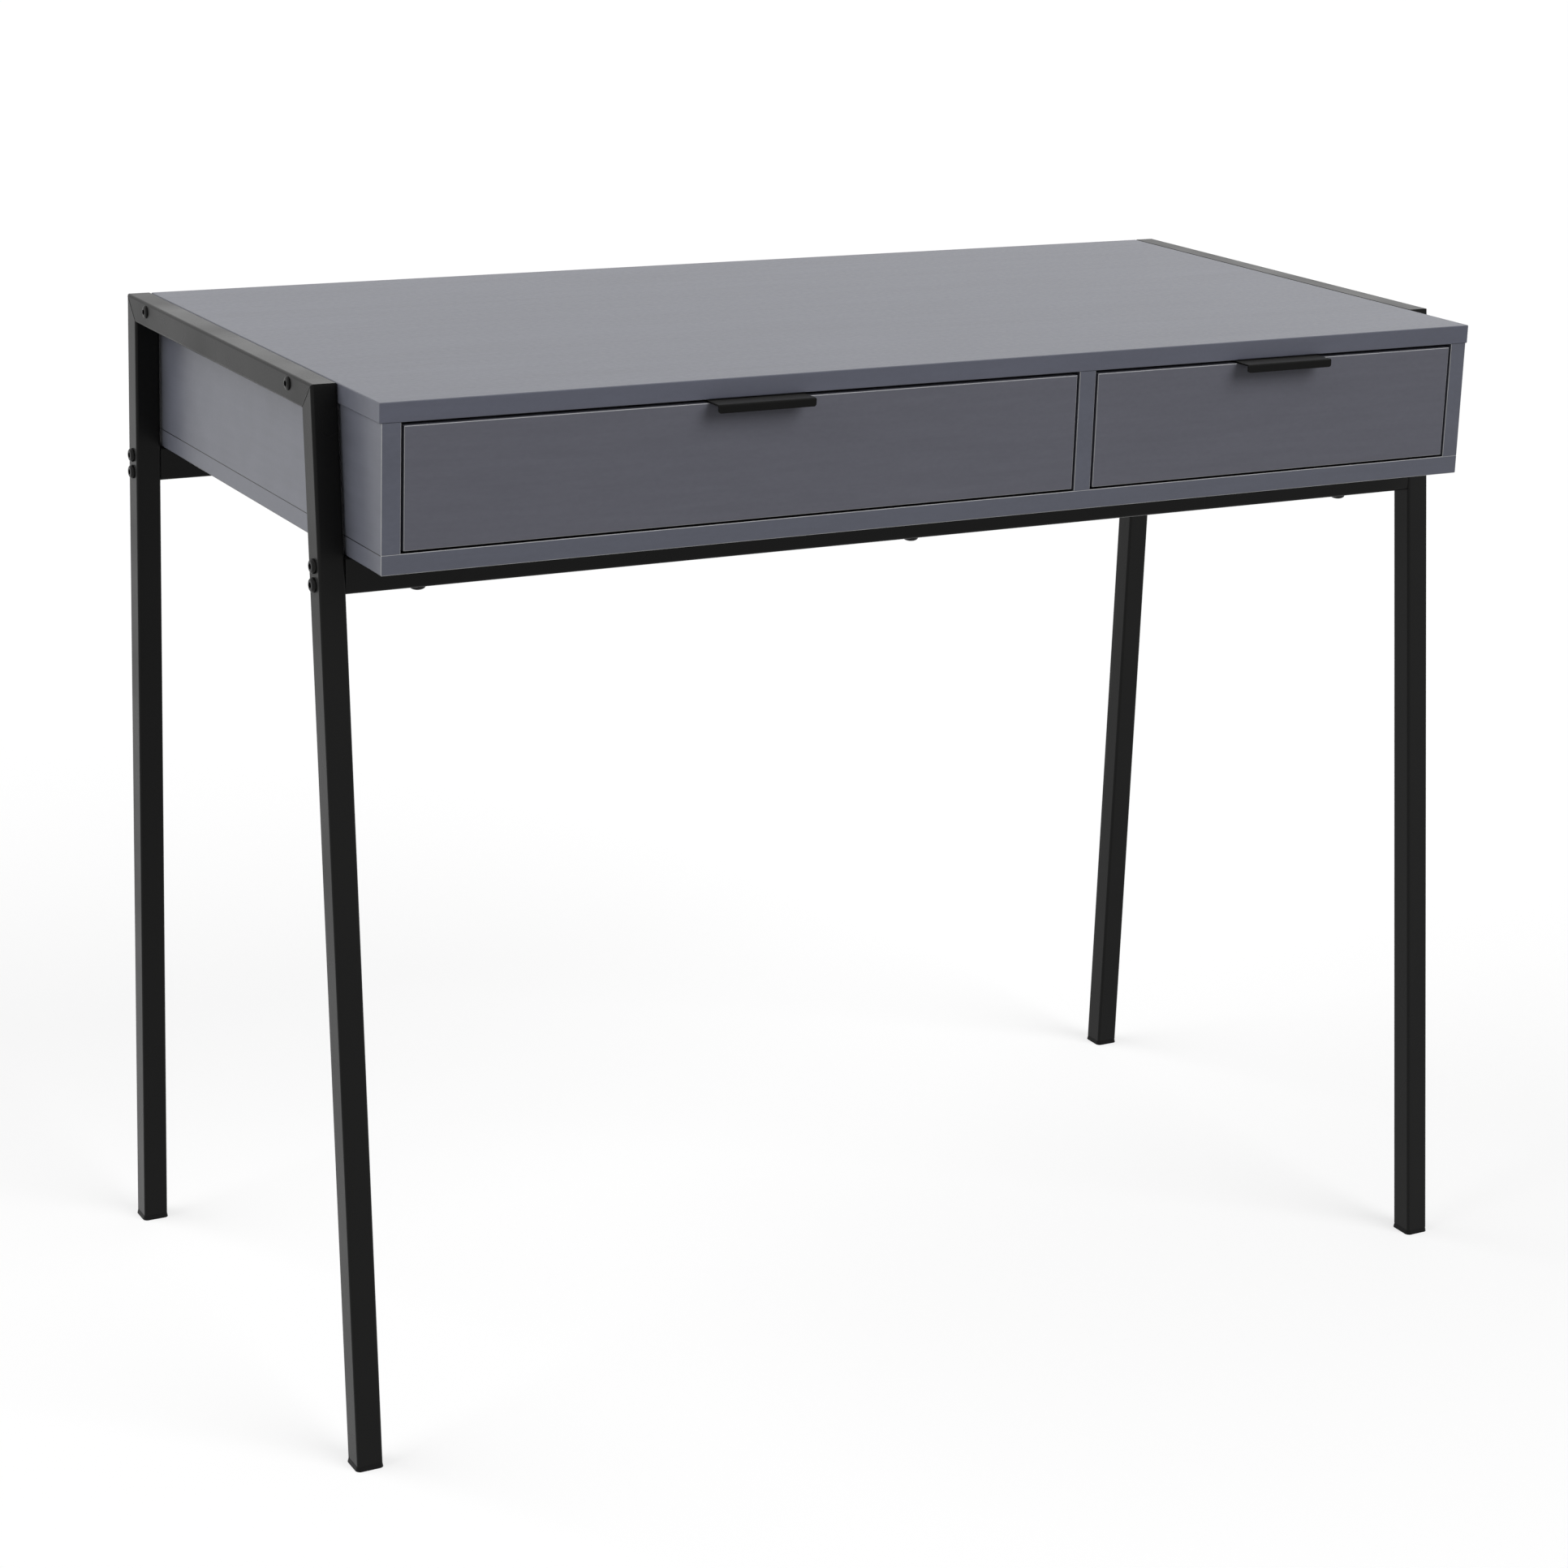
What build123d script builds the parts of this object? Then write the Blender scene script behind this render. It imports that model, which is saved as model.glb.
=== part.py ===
from build123d import *
import math
import os

# Writing desk with two drawers on a leaning tube frame.
#
# Millimetres, +Z up, +X to the right of somebody sitting at the desk, +Y towards the wall.
# The origin lies on the floor, in the middle of the four feet.
#
# The boards make one shallow case: the desktop, a base board, two side boards, a divider and
# a back board. Two steel side frames clasp it, each mitred from three square tubes, and two
# cross rails under the base board tie the frames together. Each drawer rolls on a pair of
# bottom roller runners: a channel with a front roller on the case, and a profile with a rear
# roller under the drawer side.

os.makedirs("parts", exist_ok=True)

# ---------------------------------------------------------------- case boards
desk_height = 750.0
desktop_width = 900.0
desktop_depth = 450.0
board = 14.0  # thickness of every case board and drawer front
side_inset = 1.5  # case sides and base stand back from the desktop's ends
opening_height = 88.0  # clear height between the base board and the desktop
left_bay_width = 528.0
arris = 0.8  # rounded corner of the edge banding

dowel_radius = 4.0
dowel_in_face = 9.0  # depth in the face of the desktop or the base
dowel_in_end = 19.0  # depth in the end of an upright board
dowel_setback = 60.0  # from a board's front and rear edges
back_dowel_x = 250.0
peg_clearance = 0.05  # between a dowel or a screw and the wall of its hole
head_bevel = 0.4  # bevel of a pan head, as a share of its height

# ---------------------------------------------------------------- steel frame
tube = 19.0
tube_wall = 1.5
tube_corner = 2.0
frame_setback = 72.5  # from the desktop's front edge to the frame's top front corner
front_lean = 89.0  # how far the front foot stands out from that corner
rear_lean = 4.0  # the same for the rear foot, behind the rear corner
rail_height = 26.0
end_plate = 3.0
end_plate_clearance = 0.2

foot_flange = 3.5
foot_margin = 0.8  # around the tube at the floor
foot_shoulder = 0.1  # around the tube at its cut end
foot_corner = 3.6
plug_height = 18.0
plug_wall = 2.5
plug_clearance = 0.15

# ---------------------------------------------------------------- frame screws
bolt_radius = 3.0
bolt_pitch = 13.0
bolt_reach = 2.0  # how far a bolt stands out of its end plate
bolt_head_radius = 5.25
bolt_head_height = 2.9
bolt_crown = 0.75  # rounding of the head, as a share of its height
bolt_socket_radius = 2.3  # from the middle to a corner
bolt_socket_depth = 1.8
bolt_hole_clearance = 0.25

top_screw_radius = 2.5
top_screw_head_radius = 4.75
top_screw_head_height = 1.9
top_screw_bite = 25.0  # length inside the desktop's edge
top_screw_setback = 42.5  # from either end of the top rail

base_screw_radius = 2.5
base_screw_head_radius = 5.7
base_screw_head_height = 3.8
base_screw_bite = 10.0
base_screw_spread = 391.0  # from the middle screw to the outer ones
base_screw_shift = -3.0  # of the middle screw from the desk's middle

# ---------------------------------------------------------------- drawers
front_gap_side = 2.0
front_gap_top = 2.4
front_gap_bottom = 1.5
drawer_side = 12.0  # thickness of the sides and the back
drawer_height = 60.0
drawer_lift = 11.0  # underside of the drawer sides above the base board
drawer_rear_clearance = 22.0  # between the drawer and the back board
bottom_panel = 3.0
bottom_lift = 8.0  # underside of the bottom panel above that of the sides
groove_depth = 5.0
groove_clearance = 0.1
panel_end_clearance = 0.3

corner_dowel_radius = 3.0
corner_dowel_in_front = 8.5
corner_dowel_in_side = 19.5
corner_dowel_low = 15.0
corner_dowel_high = 45.0

corner_screw_radius = 2.0
corner_screw_head_radius = 4.0
corner_screw_head_height = 1.8
corner_screw_bite = 28.0
corner_screw_low = 24.0
corner_screw_high = 46.0

# ---------------------------------------------------------------- edge pulls
pull_length = 76.0
pull_sheet = 1.2
pull_reach = 14.0  # in front of the drawer front
pull_lip = 6.0
pull_leg = 20.0  # height of the leaf behind the drawer front
pull_bend = 1.6
pull_corner = 2.0
pull_screw_spread = 50.0
pull_screw_drop = 14.0
pull_screw_radius = 1.6
pull_screw_head_radius = 3.2
pull_screw_head_height = 1.6
pull_screw_bite = 9.0

# ---------------------------------------------------------------- roller runners
side_clearance = 12.5  # between the case wall and the drawer side
sheet = 1.0
runner_setback = 15.0  # channel's front end behind the desktop's front edge
runner_lift = 8.0  # channel above the base board
channel_height = 20.0
channel_reach = 11.2
channel_lip = 3.5
channel_top_reach = 9.0
track_reach = 10.0  # outward flange of the drawer profile that the front roller carries
track_height = 15.0
roller_radius = 6.5
roller_width = 7.0
roller_end = 9.0  # roller centre from the runner's end
roller_chamfer = 0.6
running_gap = 0.3
pin_radius = 2.0
pin_clearance = 0.06
pin_boss_radius = 3.5
pin_head_radius = 3.2
pin_head = 0.9
front_boss = 0.9
rear_boss = 1.3

runner_screw_radius = 1.75
runner_screw_head_radius = 3.0
runner_screw_head_height = 1.0
runner_screw_bite = 11.0
runner_screw_drop = 4.7  # below the top of the channel
runner_screw_first = 40.0  # behind the channel's front end
runner_screw_pitch = 130.0
runner_screw_stagger = 32.0
runner_screw_count = 3

track_screw_head_height = 1.6
track_screw_bite = 7.0
track_screw_first = 50.0
track_screw_pitch = 140.0
track_screw_count = 3

# ---------------------------------------------------------------- levels
desktop_bottom = desk_height - board
base_top = desktop_bottom - opening_height
base_bottom = base_top - board
rail_bottom = base_bottom - rail_height
rail_middle = base_bottom - rail_height / 2
desktop_middle = desk_height - board / 2

# ---------------------------------------------------------------- front to back
foot_share = 1 - foot_flange / desk_height
front_toe = frame_setback - front_lean * foot_share - foot_margin
rear_heel = desktop_depth + rear_lean * foot_share + foot_margin
front_edge = -(front_toe + rear_heel) / 2
rear_edge = front_edge + desktop_depth
frame_front = front_edge + frame_setback
middle_y = front_edge + desktop_depth / 2
back_board_front = rear_edge - board
front_back_face = front_edge + board  # inner face of a drawer front
drawer_rear = back_board_front - drawer_rear_clearance
drawer_length = drawer_rear - front_back_face  # sides, and the runners under them

# ---------------------------------------------------------------- side to side
half_desktop = desktop_width / 2
half_case = half_desktop - side_inset
half_inside = half_case - board
tube_middle_x = half_desktop + tube / 2
divider_left = -half_inside + left_bay_width
divider_right = divider_left + board
bays = {"left": (-half_inside, divider_left), "right": (divider_right, half_inside)}


def save(part, node):
    """Label one finished piece and write it to its own file."""
    part.label = node
    export_step(part, f"parts/{node}.step")


def discs(plane, points, radius):
    """Round faces on a plane, to be extruded as holes, pins or screw shanks."""
    with BuildSketch(plane) as faces:
        with Locations(*points):
            Circle(radius)
    return faces.sketch


def pan_screws(plane, points, shank_radius, shank_length, head_radius, head_height):
    """Pan head screws. The plane is the seat of the heads and its normal points out of them."""
    with BuildPart() as screws:
        extrude(discs(plane, points, head_radius), amount=head_height)
        rims = screws.edges().filter_by(GeomType.CIRCLE)
        outer = rims.filter_by(lambda edge: plane.to_local_coords(edge.center()).Z > head_height / 2)
        chamfer(outer, length=head_height * head_bevel)
        extrude(discs(plane, points, shank_radius), amount=-shank_length)
    return screws.part


def mirrored_points(*magnitudes):
    """The same distances on both sides of the middle."""
    return [sign * magnitude for magnitude in magnitudes for sign in (-1, 1)]


# ================================================================ case
side_middle_x = half_case - board / 2
divider_middle = (divider_left + divider_right) / 2
upright_dowel_y = (front_edge + dowel_setback, rear_edge - dowel_setback)
upright_middles = (-side_middle_x, divider_middle, side_middle_x)
back_middle_y = rear_edge - board / 2
side_dowels = {x: [(x, y) for y in upright_dowel_y] for x in upright_middles}
back_dowels = [(x, back_middle_y) for x in mirrored_points(back_dowel_x)]
case_dowels = [point for points in side_dowels.values() for point in points] + back_dowels
dowel_hole_radius = dowel_radius + peg_clearance

top_screw_y = (frame_front + top_screw_setback, rear_edge - top_screw_setback)
top_screw_points = [(y, desktop_middle) for y in top_screw_y]


def leg_y(outer_top, lean, z):
    """Middle of a leaning leg at a height, from its top outer corner and its signed lean."""
    slope = lean / desk_height
    half_section = tube / 2 * math.hypot(1, slope)
    return outer_top + slope * (desk_height - z) - math.copysign(half_section, lean)


front_leg_y = leg_y(frame_front, -front_lean, rail_middle)
rear_leg_y = leg_y(rear_edge, rear_lean, rail_middle)
rails = {"front": front_leg_y, "rear": rear_leg_y}
base_screw_x = [base_screw_shift + step * base_screw_spread for step in (-1, 0, 1)]
base_screw_points = [(x, y) for y in rails.values() for x in base_screw_x]

with BuildPart() as desktop:
    with BuildSketch(Plane.XY.offset(desktop_bottom)):
        with Locations((0, middle_y)):
            Rectangle(desktop_width, desktop_depth)
    extrude(amount=board)
    fillet(desktop.edges(), radius=arris)
    extrude(
        discs(Plane.XY.offset(desktop_bottom), case_dowels, dowel_hole_radius),
        amount=dowel_in_face + peg_clearance,
        mode=Mode.SUBTRACT,
    )
    for side in (-1, 1):
        extrude(
            discs(Plane.YZ.offset(side * half_desktop), top_screw_points, top_screw_radius + peg_clearance),
            amount=-side * (top_screw_bite + peg_clearance),
            mode=Mode.SUBTRACT,
        )
save(desktop.part, "desktop")

with BuildPart() as base_panel:
    with BuildSketch(Plane.XY.offset(base_bottom)):
        with Locations((0, middle_y)):
            Rectangle(2 * half_case, desktop_depth)
    extrude(amount=board)
    fillet(base_panel.edges(), radius=arris)
    extrude(
        discs(Plane.XY.offset(base_top), case_dowels, dowel_hole_radius),
        amount=-dowel_in_face - peg_clearance,
        mode=Mode.SUBTRACT,
    )
    extrude(
        discs(Plane.XY.offset(base_bottom), base_screw_points, base_screw_radius + peg_clearance),
        amount=base_screw_bite + peg_clearance,
        mode=Mode.SUBTRACT,
    )
save(base_panel.part, "base_panel")

channel_bottom = base_top + runner_lift
channel_top = channel_bottom + channel_height
channel_front = front_edge + runner_setback
runner_screw_z = channel_top - runner_screw_drop


def runner_screw_points(inward):
    """Screws of one channel. Left and right ones are staggered, so they miss in the divider."""
    first = channel_front + runner_screw_first + (runner_screw_stagger if inward < 0 else 0)
    return [(first + index * runner_screw_pitch, runner_screw_z) for index in range(runner_screw_count)]


def cut_dowels(points):
    """Dowel holes in the lower and upper ends of an upright board, as tools for cutting."""
    with BuildPart() as tools:
        depth = dowel_in_end + peg_clearance
        extrude(discs(Plane.XY.offset(base_top), points, dowel_hole_radius), amount=depth)
        extrude(discs(Plane.XY.offset(desktop_bottom), points, dowel_hole_radius), amount=-depth)
    return tools.part


def upright_board(left, right, rear, dowels, runner_faces):
    """A side board or the divider. Its runner faces are (X of the face, way to the drawer)."""
    with BuildPart() as upright:
        with BuildSketch(Plane.XY.offset(base_top)):
            with Locations(((left + right) / 2, (front_edge + rear) / 2)):
                Rectangle(right - left, rear - front_edge)
        extrude(amount=opening_height)
        front_edges = upright.edges().filter_by(Axis.Z).group_by(Axis.Y)[0]
        fillet(front_edges, radius=arris)
        add(cut_dowels(dowels), mode=Mode.SUBTRACT)
        for face_x, inward in runner_faces:
            extrude(
                discs(Plane.YZ.offset(face_x), runner_screw_points(inward), runner_screw_radius + peg_clearance),
                amount=-inward * (runner_screw_bite + peg_clearance),
                mode=Mode.SUBTRACT,
            )
    return upright.part


save(
    upright_board(-half_case, -half_inside, rear_edge, side_dowels[-side_middle_x], [(-half_inside, 1)]),
    "left_side_panel",
)
save(
    upright_board(half_inside, half_case, rear_edge, side_dowels[side_middle_x], [(half_inside, -1)]),
    "right_side_panel",
)
save(
    upright_board(
        divider_left,
        divider_right,
        back_board_front,
        side_dowels[divider_middle],
        [(divider_left, -1), (divider_right, 1)],
    ),
    "centre_divider",
)

with BuildPart() as back_panel:
    with BuildSketch(Plane.XY.offset(base_top)):
        with Locations((0, back_middle_y)):
            Rectangle(2 * half_inside, board)
    extrude(amount=opening_height)
    add(cut_dowels(back_dowels), mode=Mode.SUBTRACT)
save(back_panel.part, "back_panel")

with BuildPart() as panel_dowels:
    dowel_length = dowel_in_face + dowel_in_end
    extrude(discs(Plane.XY.offset(base_top - dowel_in_face), case_dowels, dowel_radius), amount=dowel_length)
    extrude(
        discs(Plane.XY.offset(desktop_bottom + dowel_in_face), case_dowels, dowel_radius),
        amount=-dowel_length,
    )
save(panel_dowels.part, "panel_dowels")

# ================================================================ side frames
bolt_z = [rail_middle + step for step in mirrored_points(bolt_pitch / 2)]
leg_bolts = {name: [(y, z) for z in bolt_z] for name, y in rails.items()}


def tube_blank(plane, width, depth, length):
    """Straight hollow tube along the normal of a plane."""
    with BuildPart() as blank:
        with BuildSketch(plane):
            RectangleRounded(width, depth, tube_corner)
            RectangleRounded(
                width - 2 * tube_wall, depth - 2 * tube_wall, tube_corner - tube_wall, mode=Mode.SUBTRACT
            )
        extrude(amount=length)
    return blank.part


class Corner:
    """Top corner of a side frame, where a leaning leg is mitred to the top rail."""

    def __init__(self, x, y, lean):
        length = math.hypot(desk_height, lean)
        outward = math.copysign(1, lean)
        self.sine = abs(lean) / length
        self.cosine = desk_height / length
        self.outer = Vector(x, y, desk_height)
        self.down = Vector(0, outward * self.sine, -self.cosine)
        self.inward = Vector(0, -outward * self.cosine, -self.sine)
        self.mitre = Plane(
            origin=self.outer,
            x_dir=(1, 0, 0),
            z_dir=(0, -outward * self.cosine, 1 - self.sine),
        )

    def section(self, distance):
        """Plane across the leg, at a distance down its middle line."""
        start = self.outer + self.inward * (tube / 2) + self.down * distance
        return Plane(origin=start, x_dir=(1, 0, 0), z_dir=self.down)


def leg(corner, bolts):
    """One leg, mitred at the top, cut level at the foot and drilled for its two bolts."""
    length = desk_height / corner.cosine + 2 * tube
    with BuildPart() as piece:
        add(tube_blank(corner.section(-tube), tube, tube, length))
        split(bisect_by=corner.mitre, keep=Keep.BOTTOM)
        split(bisect_by=Plane.XY.offset(foot_flange), keep=Keep.TOP)
        extrude(
            discs(Plane.YZ.offset(corner.outer.X), bolts, bolt_radius + bolt_hole_clearance),
            amount=tube,
            both=True,
            mode=Mode.SUBTRACT,
        )
    return piece.part


def top_rail(front, rear):
    """Top rail of a side frame, mitred at both ends and drilled for its two screws."""
    middle_z = desk_height - tube / 2
    start = Plane(origin=(front.outer.X, front.outer.Y - tube, middle_z), x_dir=(1, 0, 0), z_dir=(0, 1, 0))
    length = rear.outer.Y - front.outer.Y + 2 * tube
    with BuildPart() as piece:
        add(tube_blank(start, tube, tube, length))
        split(bisect_by=front.mitre, keep=Keep.TOP)
        split(bisect_by=rear.mitre, keep=Keep.TOP)
        extrude(
            discs(Plane.YZ.offset(front.outer.X), top_screw_points, top_screw_radius + peg_clearance),
            amount=tube,
            both=True,
            mode=Mode.SUBTRACT,
        )
    return piece.part


def foot(corner, bottom_y):
    """Plastic foot: a flared flange under the tube's cut end and a hollow plug inside the tube."""
    section_depth = tube / corner.cosine
    plug_width = tube - 2 * tube_wall - 2 * plug_clearance
    plug_corner = tube_corner - tube_wall
    with BuildPart() as piece:
        with BuildSketch(corner.section(desk_height / corner.cosine - plug_height)):
            RectangleRounded(plug_width, plug_width, plug_corner)
            Rectangle(plug_width - 2 * plug_wall, plug_width - 2 * plug_wall, mode=Mode.SUBTRACT)
        extrude(amount=plug_height + tube)
        split(bisect_by=Plane.XY.offset(foot_flange), keep=Keep.TOP)
        with BuildSketch():
            with Locations((corner.outer.X, bottom_y)):
                RectangleRounded(tube + 2 * foot_margin, section_depth + 2 * foot_margin, foot_corner)
        extrude(amount=foot_flange, taper=math.degrees(math.atan2(foot_margin - foot_shoulder, foot_flange)))
    return piece.part


for name, side in (("left", -1), ("right", 1)):
    front_corner = Corner(side * tube_middle_x, frame_front, -front_lean)
    rear_corner = Corner(side * tube_middle_x, rear_edge, rear_lean)
    save(top_rail(front_corner, rear_corner), f"{name}_top_rail")
    save(leg(front_corner, leg_bolts["front"]), f"{name}_front_leg")
    save(leg(rear_corner, leg_bolts["rear"]), f"{name}_rear_leg")
    save(foot(front_corner, leg_y(frame_front, -front_lean, foot_flange)), f"{name}_front_foot")
    save(foot(rear_corner, leg_y(rear_edge, rear_lean, foot_flange)), f"{name}_rear_foot")

for name, rail_y in rails.items():
    rail_screws = [point for point in base_screw_points if point[1] == rail_y]
    rail_start = Plane(origin=(-half_desktop, rail_y, rail_middle), x_dir=(0, 1, 0), z_dir=(1, 0, 0))
    with BuildPart() as cross_rail:
        add(tube_blank(rail_start, tube, rail_height, desktop_width))
        extrude(
            discs(Plane.XY.offset(rail_bottom), rail_screws, base_screw_radius + peg_clearance),
            amount=rail_height,
            mode=Mode.SUBTRACT,
        )
    save(cross_rail.part, f"{name}_cross_rail")

with BuildPart() as rail_end_plates:
    for side in (-1, 1):
        for rail_y, bolts in zip(rails.values(), leg_bolts.values()):
            with BuildSketch(Plane.YZ.offset(side * half_desktop)):
                with Locations((rail_y, rail_middle)):
                    Rectangle(
                        tube - 2 * tube_wall - 2 * end_plate_clearance,
                        rail_height - 2 * tube_wall - 2 * end_plate_clearance,
                    )
                with Locations(*bolts):
                    Circle(bolt_radius + peg_clearance, mode=Mode.SUBTRACT)
            extrude(amount=-side * end_plate)
save(rail_end_plates.part, "rail_end_plates")


def button_bolt(seat):
    """Button head bolt. The plane is the seat of the head and its normal points out of it."""
    shank = tube + end_plate + bolt_reach
    with BuildPart() as bolt:
        with BuildSketch(seat):
            Circle(bolt_head_radius)
        extrude(amount=bolt_head_height)
        crown = bolt.edges().filter_by(lambda edge: seat.to_local_coords(edge.center()).Z > bolt_head_height / 2)
        fillet(crown, radius=bolt_head_height * bolt_crown)
        with BuildSketch(seat.offset(bolt_head_height)):
            RegularPolygon(bolt_socket_radius, 6)
        extrude(amount=-bolt_socket_depth, mode=Mode.SUBTRACT)
        with BuildSketch(seat):
            Circle(bolt_radius)
        extrude(amount=-shank)
    return bolt.part


with BuildPart() as frame_bolts:
    for side in (-1, 1):
        for bolts in leg_bolts.values():
            for y, z in bolts:
                face_x = side * (half_desktop + tube)
                add(button_bolt(Plane(origin=(face_x, y, z), x_dir=(0, 1, 0), z_dir=(side, 0, 0))))
save(frame_bolts.part, "frame_bolts")

with BuildPart() as top_rail_screws:
    for side in (-1, 1):
        seat = Plane(origin=(side * (half_desktop + tube), 0, 0), x_dir=(0, side, 0), z_dir=(side, 0, 0))
        add(
            pan_screws(
                seat,
                [(side * y, z) for y, z in top_screw_points],
                top_screw_radius,
                tube + top_screw_bite,
                top_screw_head_radius,
                top_screw_head_height,
            )
        )
save(top_rail_screws.part, "top_rail_screws")

with BuildPart() as base_screws:
    seat = Plane(origin=(0, 0, rail_bottom), x_dir=(1, 0, 0), z_dir=(0, 0, -1))
    add(
        pan_screws(
            seat,
            [(x, -y) for x, y in base_screw_points],
            base_screw_radius,
            rail_height + base_screw_bite,
            base_screw_head_radius,
            base_screw_head_height,
        )
    )
save(base_screws.part, "base_screws")

# ================================================================ roller runners
drawer_bottom = base_top + drawer_lift
track_bottom = drawer_bottom - sheet
track_top = track_bottom + track_height
front_roller_y = channel_front + roller_end
front_roller_z = track_top - sheet - running_gap - roller_radius
rear_roller_y = drawer_rear - roller_end
rear_roller_z = channel_bottom + sheet + running_gap + roller_radius
front_roller_start = sheet + front_boss + running_gap
rear_roller_start = side_clearance - sheet - rear_boss - running_gap - roller_width


def across(wall_x, inward, y):
    """Plane across a runner: local X runs from the case wall to the drawer, local Y is up."""
    return Plane(origin=(wall_x, y, 0), x_dir=(inward, 0, 0), z_dir=(0, -inward, 0))


def along(wall_x, inward, distance):
    """Plane along a runner, at a distance from the wall, with its normal towards the drawer."""
    return Plane(origin=(wall_x + inward * distance, 0, 0), x_dir=(0, inward, 0), z_dir=(inward, 0, 0))


def riveted_pin(plane, way, y, z, boss, gap_to_head):
    """Boss, pin and head that hold one roller on the web of its runner."""
    with BuildPart() as pin:
        extrude(discs(plane, [(y, z)], pin_boss_radius), amount=way * boss)
        extrude(discs(plane, [(y, z)], pin_radius), amount=way * (boss + gap_to_head + pin_head))
        head_plane = plane.offset(way * (boss + gap_to_head))
        extrude(discs(head_plane, [(y, z)], pin_head_radius), amount=way * pin_head)
    return pin.part


def case_channel(wall_x, inward):
    """Channel on the case wall, folded from sheet, with the pin of its front roller."""
    face = along(wall_x, inward, 0)
    local = [(inward * y, z) for y, z in runner_screw_points(inward)]
    with BuildPart() as channel:
        with BuildSketch(across(wall_x, inward, channel_front)):
            with BuildLine():
                Polyline(
                    (0, channel_bottom),
                    (channel_reach, channel_bottom),
                    (channel_reach, channel_bottom + channel_lip),
                    (channel_reach - sheet, channel_bottom + channel_lip),
                    (channel_reach - sheet, channel_bottom + sheet),
                    (sheet, channel_bottom + sheet),
                    (sheet, channel_top - sheet),
                    (channel_top_reach, channel_top - sheet),
                    (channel_top_reach, channel_top),
                    (0, channel_top),
                    close=True,
                )
            make_face()
        extrude(amount=-inward * drawer_length)
        extrude(discs(face, local, runner_screw_radius + peg_clearance), amount=sheet, mode=Mode.SUBTRACT)
        add(
            riveted_pin(
                along(wall_x, inward, sheet),
                1,
                inward * front_roller_y,
                front_roller_z,
                front_boss,
                roller_width + 2 * running_gap,
            )
        )
    return channel.part


def drawer_track(wall_x, inward):
    """Profile under one drawer side: flange under the board, web, and the flange that rolls."""
    web = side_clearance - sheet
    board_middle = side_clearance + drawer_side / 2
    with BuildPart() as track:
        with BuildSketch(across(wall_x, inward, front_back_face)):
            with BuildLine():
                Polyline(
                    (web, track_bottom),
                    (side_clearance + drawer_side, track_bottom),
                    (side_clearance + drawer_side, drawer_bottom),
                    (side_clearance, drawer_bottom),
                    (side_clearance, track_top),
                    (side_clearance - track_reach, track_top),
                    (side_clearance - track_reach, track_top - sheet),
                    (web, track_top - sheet),
                    close=True,
                )
            make_face()
        extrude(amount=-inward * drawer_length)
        extrude(
            discs(
                Plane.XY.offset(track_bottom),
                [(wall_x + inward * board_middle, y) for y in track_screw_y],
                runner_screw_radius + peg_clearance,
            ),
            amount=sheet,
            mode=Mode.SUBTRACT,
        )
        add(
            riveted_pin(
                along(wall_x, inward, web),
                -1,
                inward * rear_roller_y,
                rear_roller_z,
                rear_boss,
                roller_width + 2 * running_gap,
            )
        )
    return track.part


def roller(wall_x, inward, distance, y, z):
    """Nylon roller, with its near face at a distance from the case wall."""
    with BuildPart() as wheel:
        plane = along(wall_x, inward, distance)
        extrude(discs(plane, [(inward * y, z)], roller_radius), amount=roller_width)
        chamfer(wheel.edges().filter_by(GeomType.CIRCLE), length=roller_chamfer)
        extrude(
            discs(plane, [(inward * y, z)], pin_radius + pin_clearance), amount=roller_width, mode=Mode.SUBTRACT
        )
    return wheel.part


track_screw_y = [
    front_back_face + track_screw_first + index * track_screw_pitch for index in range(track_screw_count)
]
hands = {"left": 1, "right": -1}

with BuildPart() as runner_screws:
    for bay_left, bay_right in bays.values():
        for wall_x, inward in ((bay_left, 1), (bay_right, -1)):
            add(
                pan_screws(
                    along(wall_x, inward, sheet),
                    [(inward * y, z) for y, z in runner_screw_points(inward)],
                    runner_screw_radius,
                    sheet + runner_screw_bite,
                    runner_screw_head_radius,
                    runner_screw_head_height,
                )
            )
save(runner_screws.part, "runner_screws")

for bay_name, (bay_left, bay_right) in bays.items():
    for hand, inward in hands.items():
        wall_x = bay_left if inward > 0 else bay_right
        runner = f"{bay_name}_bay_{hand}"
        save(case_channel(wall_x, inward), f"{runner}_channel")
        save(
            roller(wall_x, inward, front_roller_start, front_roller_y, front_roller_z),
            f"{runner}_front_roller",
        )
        save(drawer_track(wall_x, inward), f"{bay_name}_drawer_{hand}_track")
        save(
            roller(wall_x, inward, rear_roller_start, rear_roller_y, rear_roller_z),
            f"{bay_name}_drawer_{hand}_rear_roller",
        )

# ================================================================ drawers
front_bottom = base_top + front_gap_bottom
front_top = desktop_bottom - front_gap_top
panel_bottom = drawer_bottom + bottom_lift
panel_top = panel_bottom + bottom_panel
drawer_top = drawer_bottom + drawer_height
corner_dowel_z = (drawer_bottom + corner_dowel_low, drawer_bottom + corner_dowel_high)
corner_screw_z = (drawer_bottom + corner_screw_low, drawer_bottom + corner_screw_high)
corner_screw_y = drawer_rear - drawer_side / 2
pull_screw_z = front_top + pull_sheet - pull_screw_drop


def groove(x_left, x_right, y_front, y_rear):
    """Slot for the bottom panel, as a tool for cutting."""
    with BuildPart() as slot:
        with BuildSketch(Plane.XY.offset(panel_bottom - groove_clearance)):
            with Locations(((x_left + x_right) / 2, (y_front + y_rear) / 2)):
                Rectangle(x_right - x_left, y_rear - y_front)
        extrude(amount=bottom_panel + 2 * groove_clearance)
    return slot.part


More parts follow.
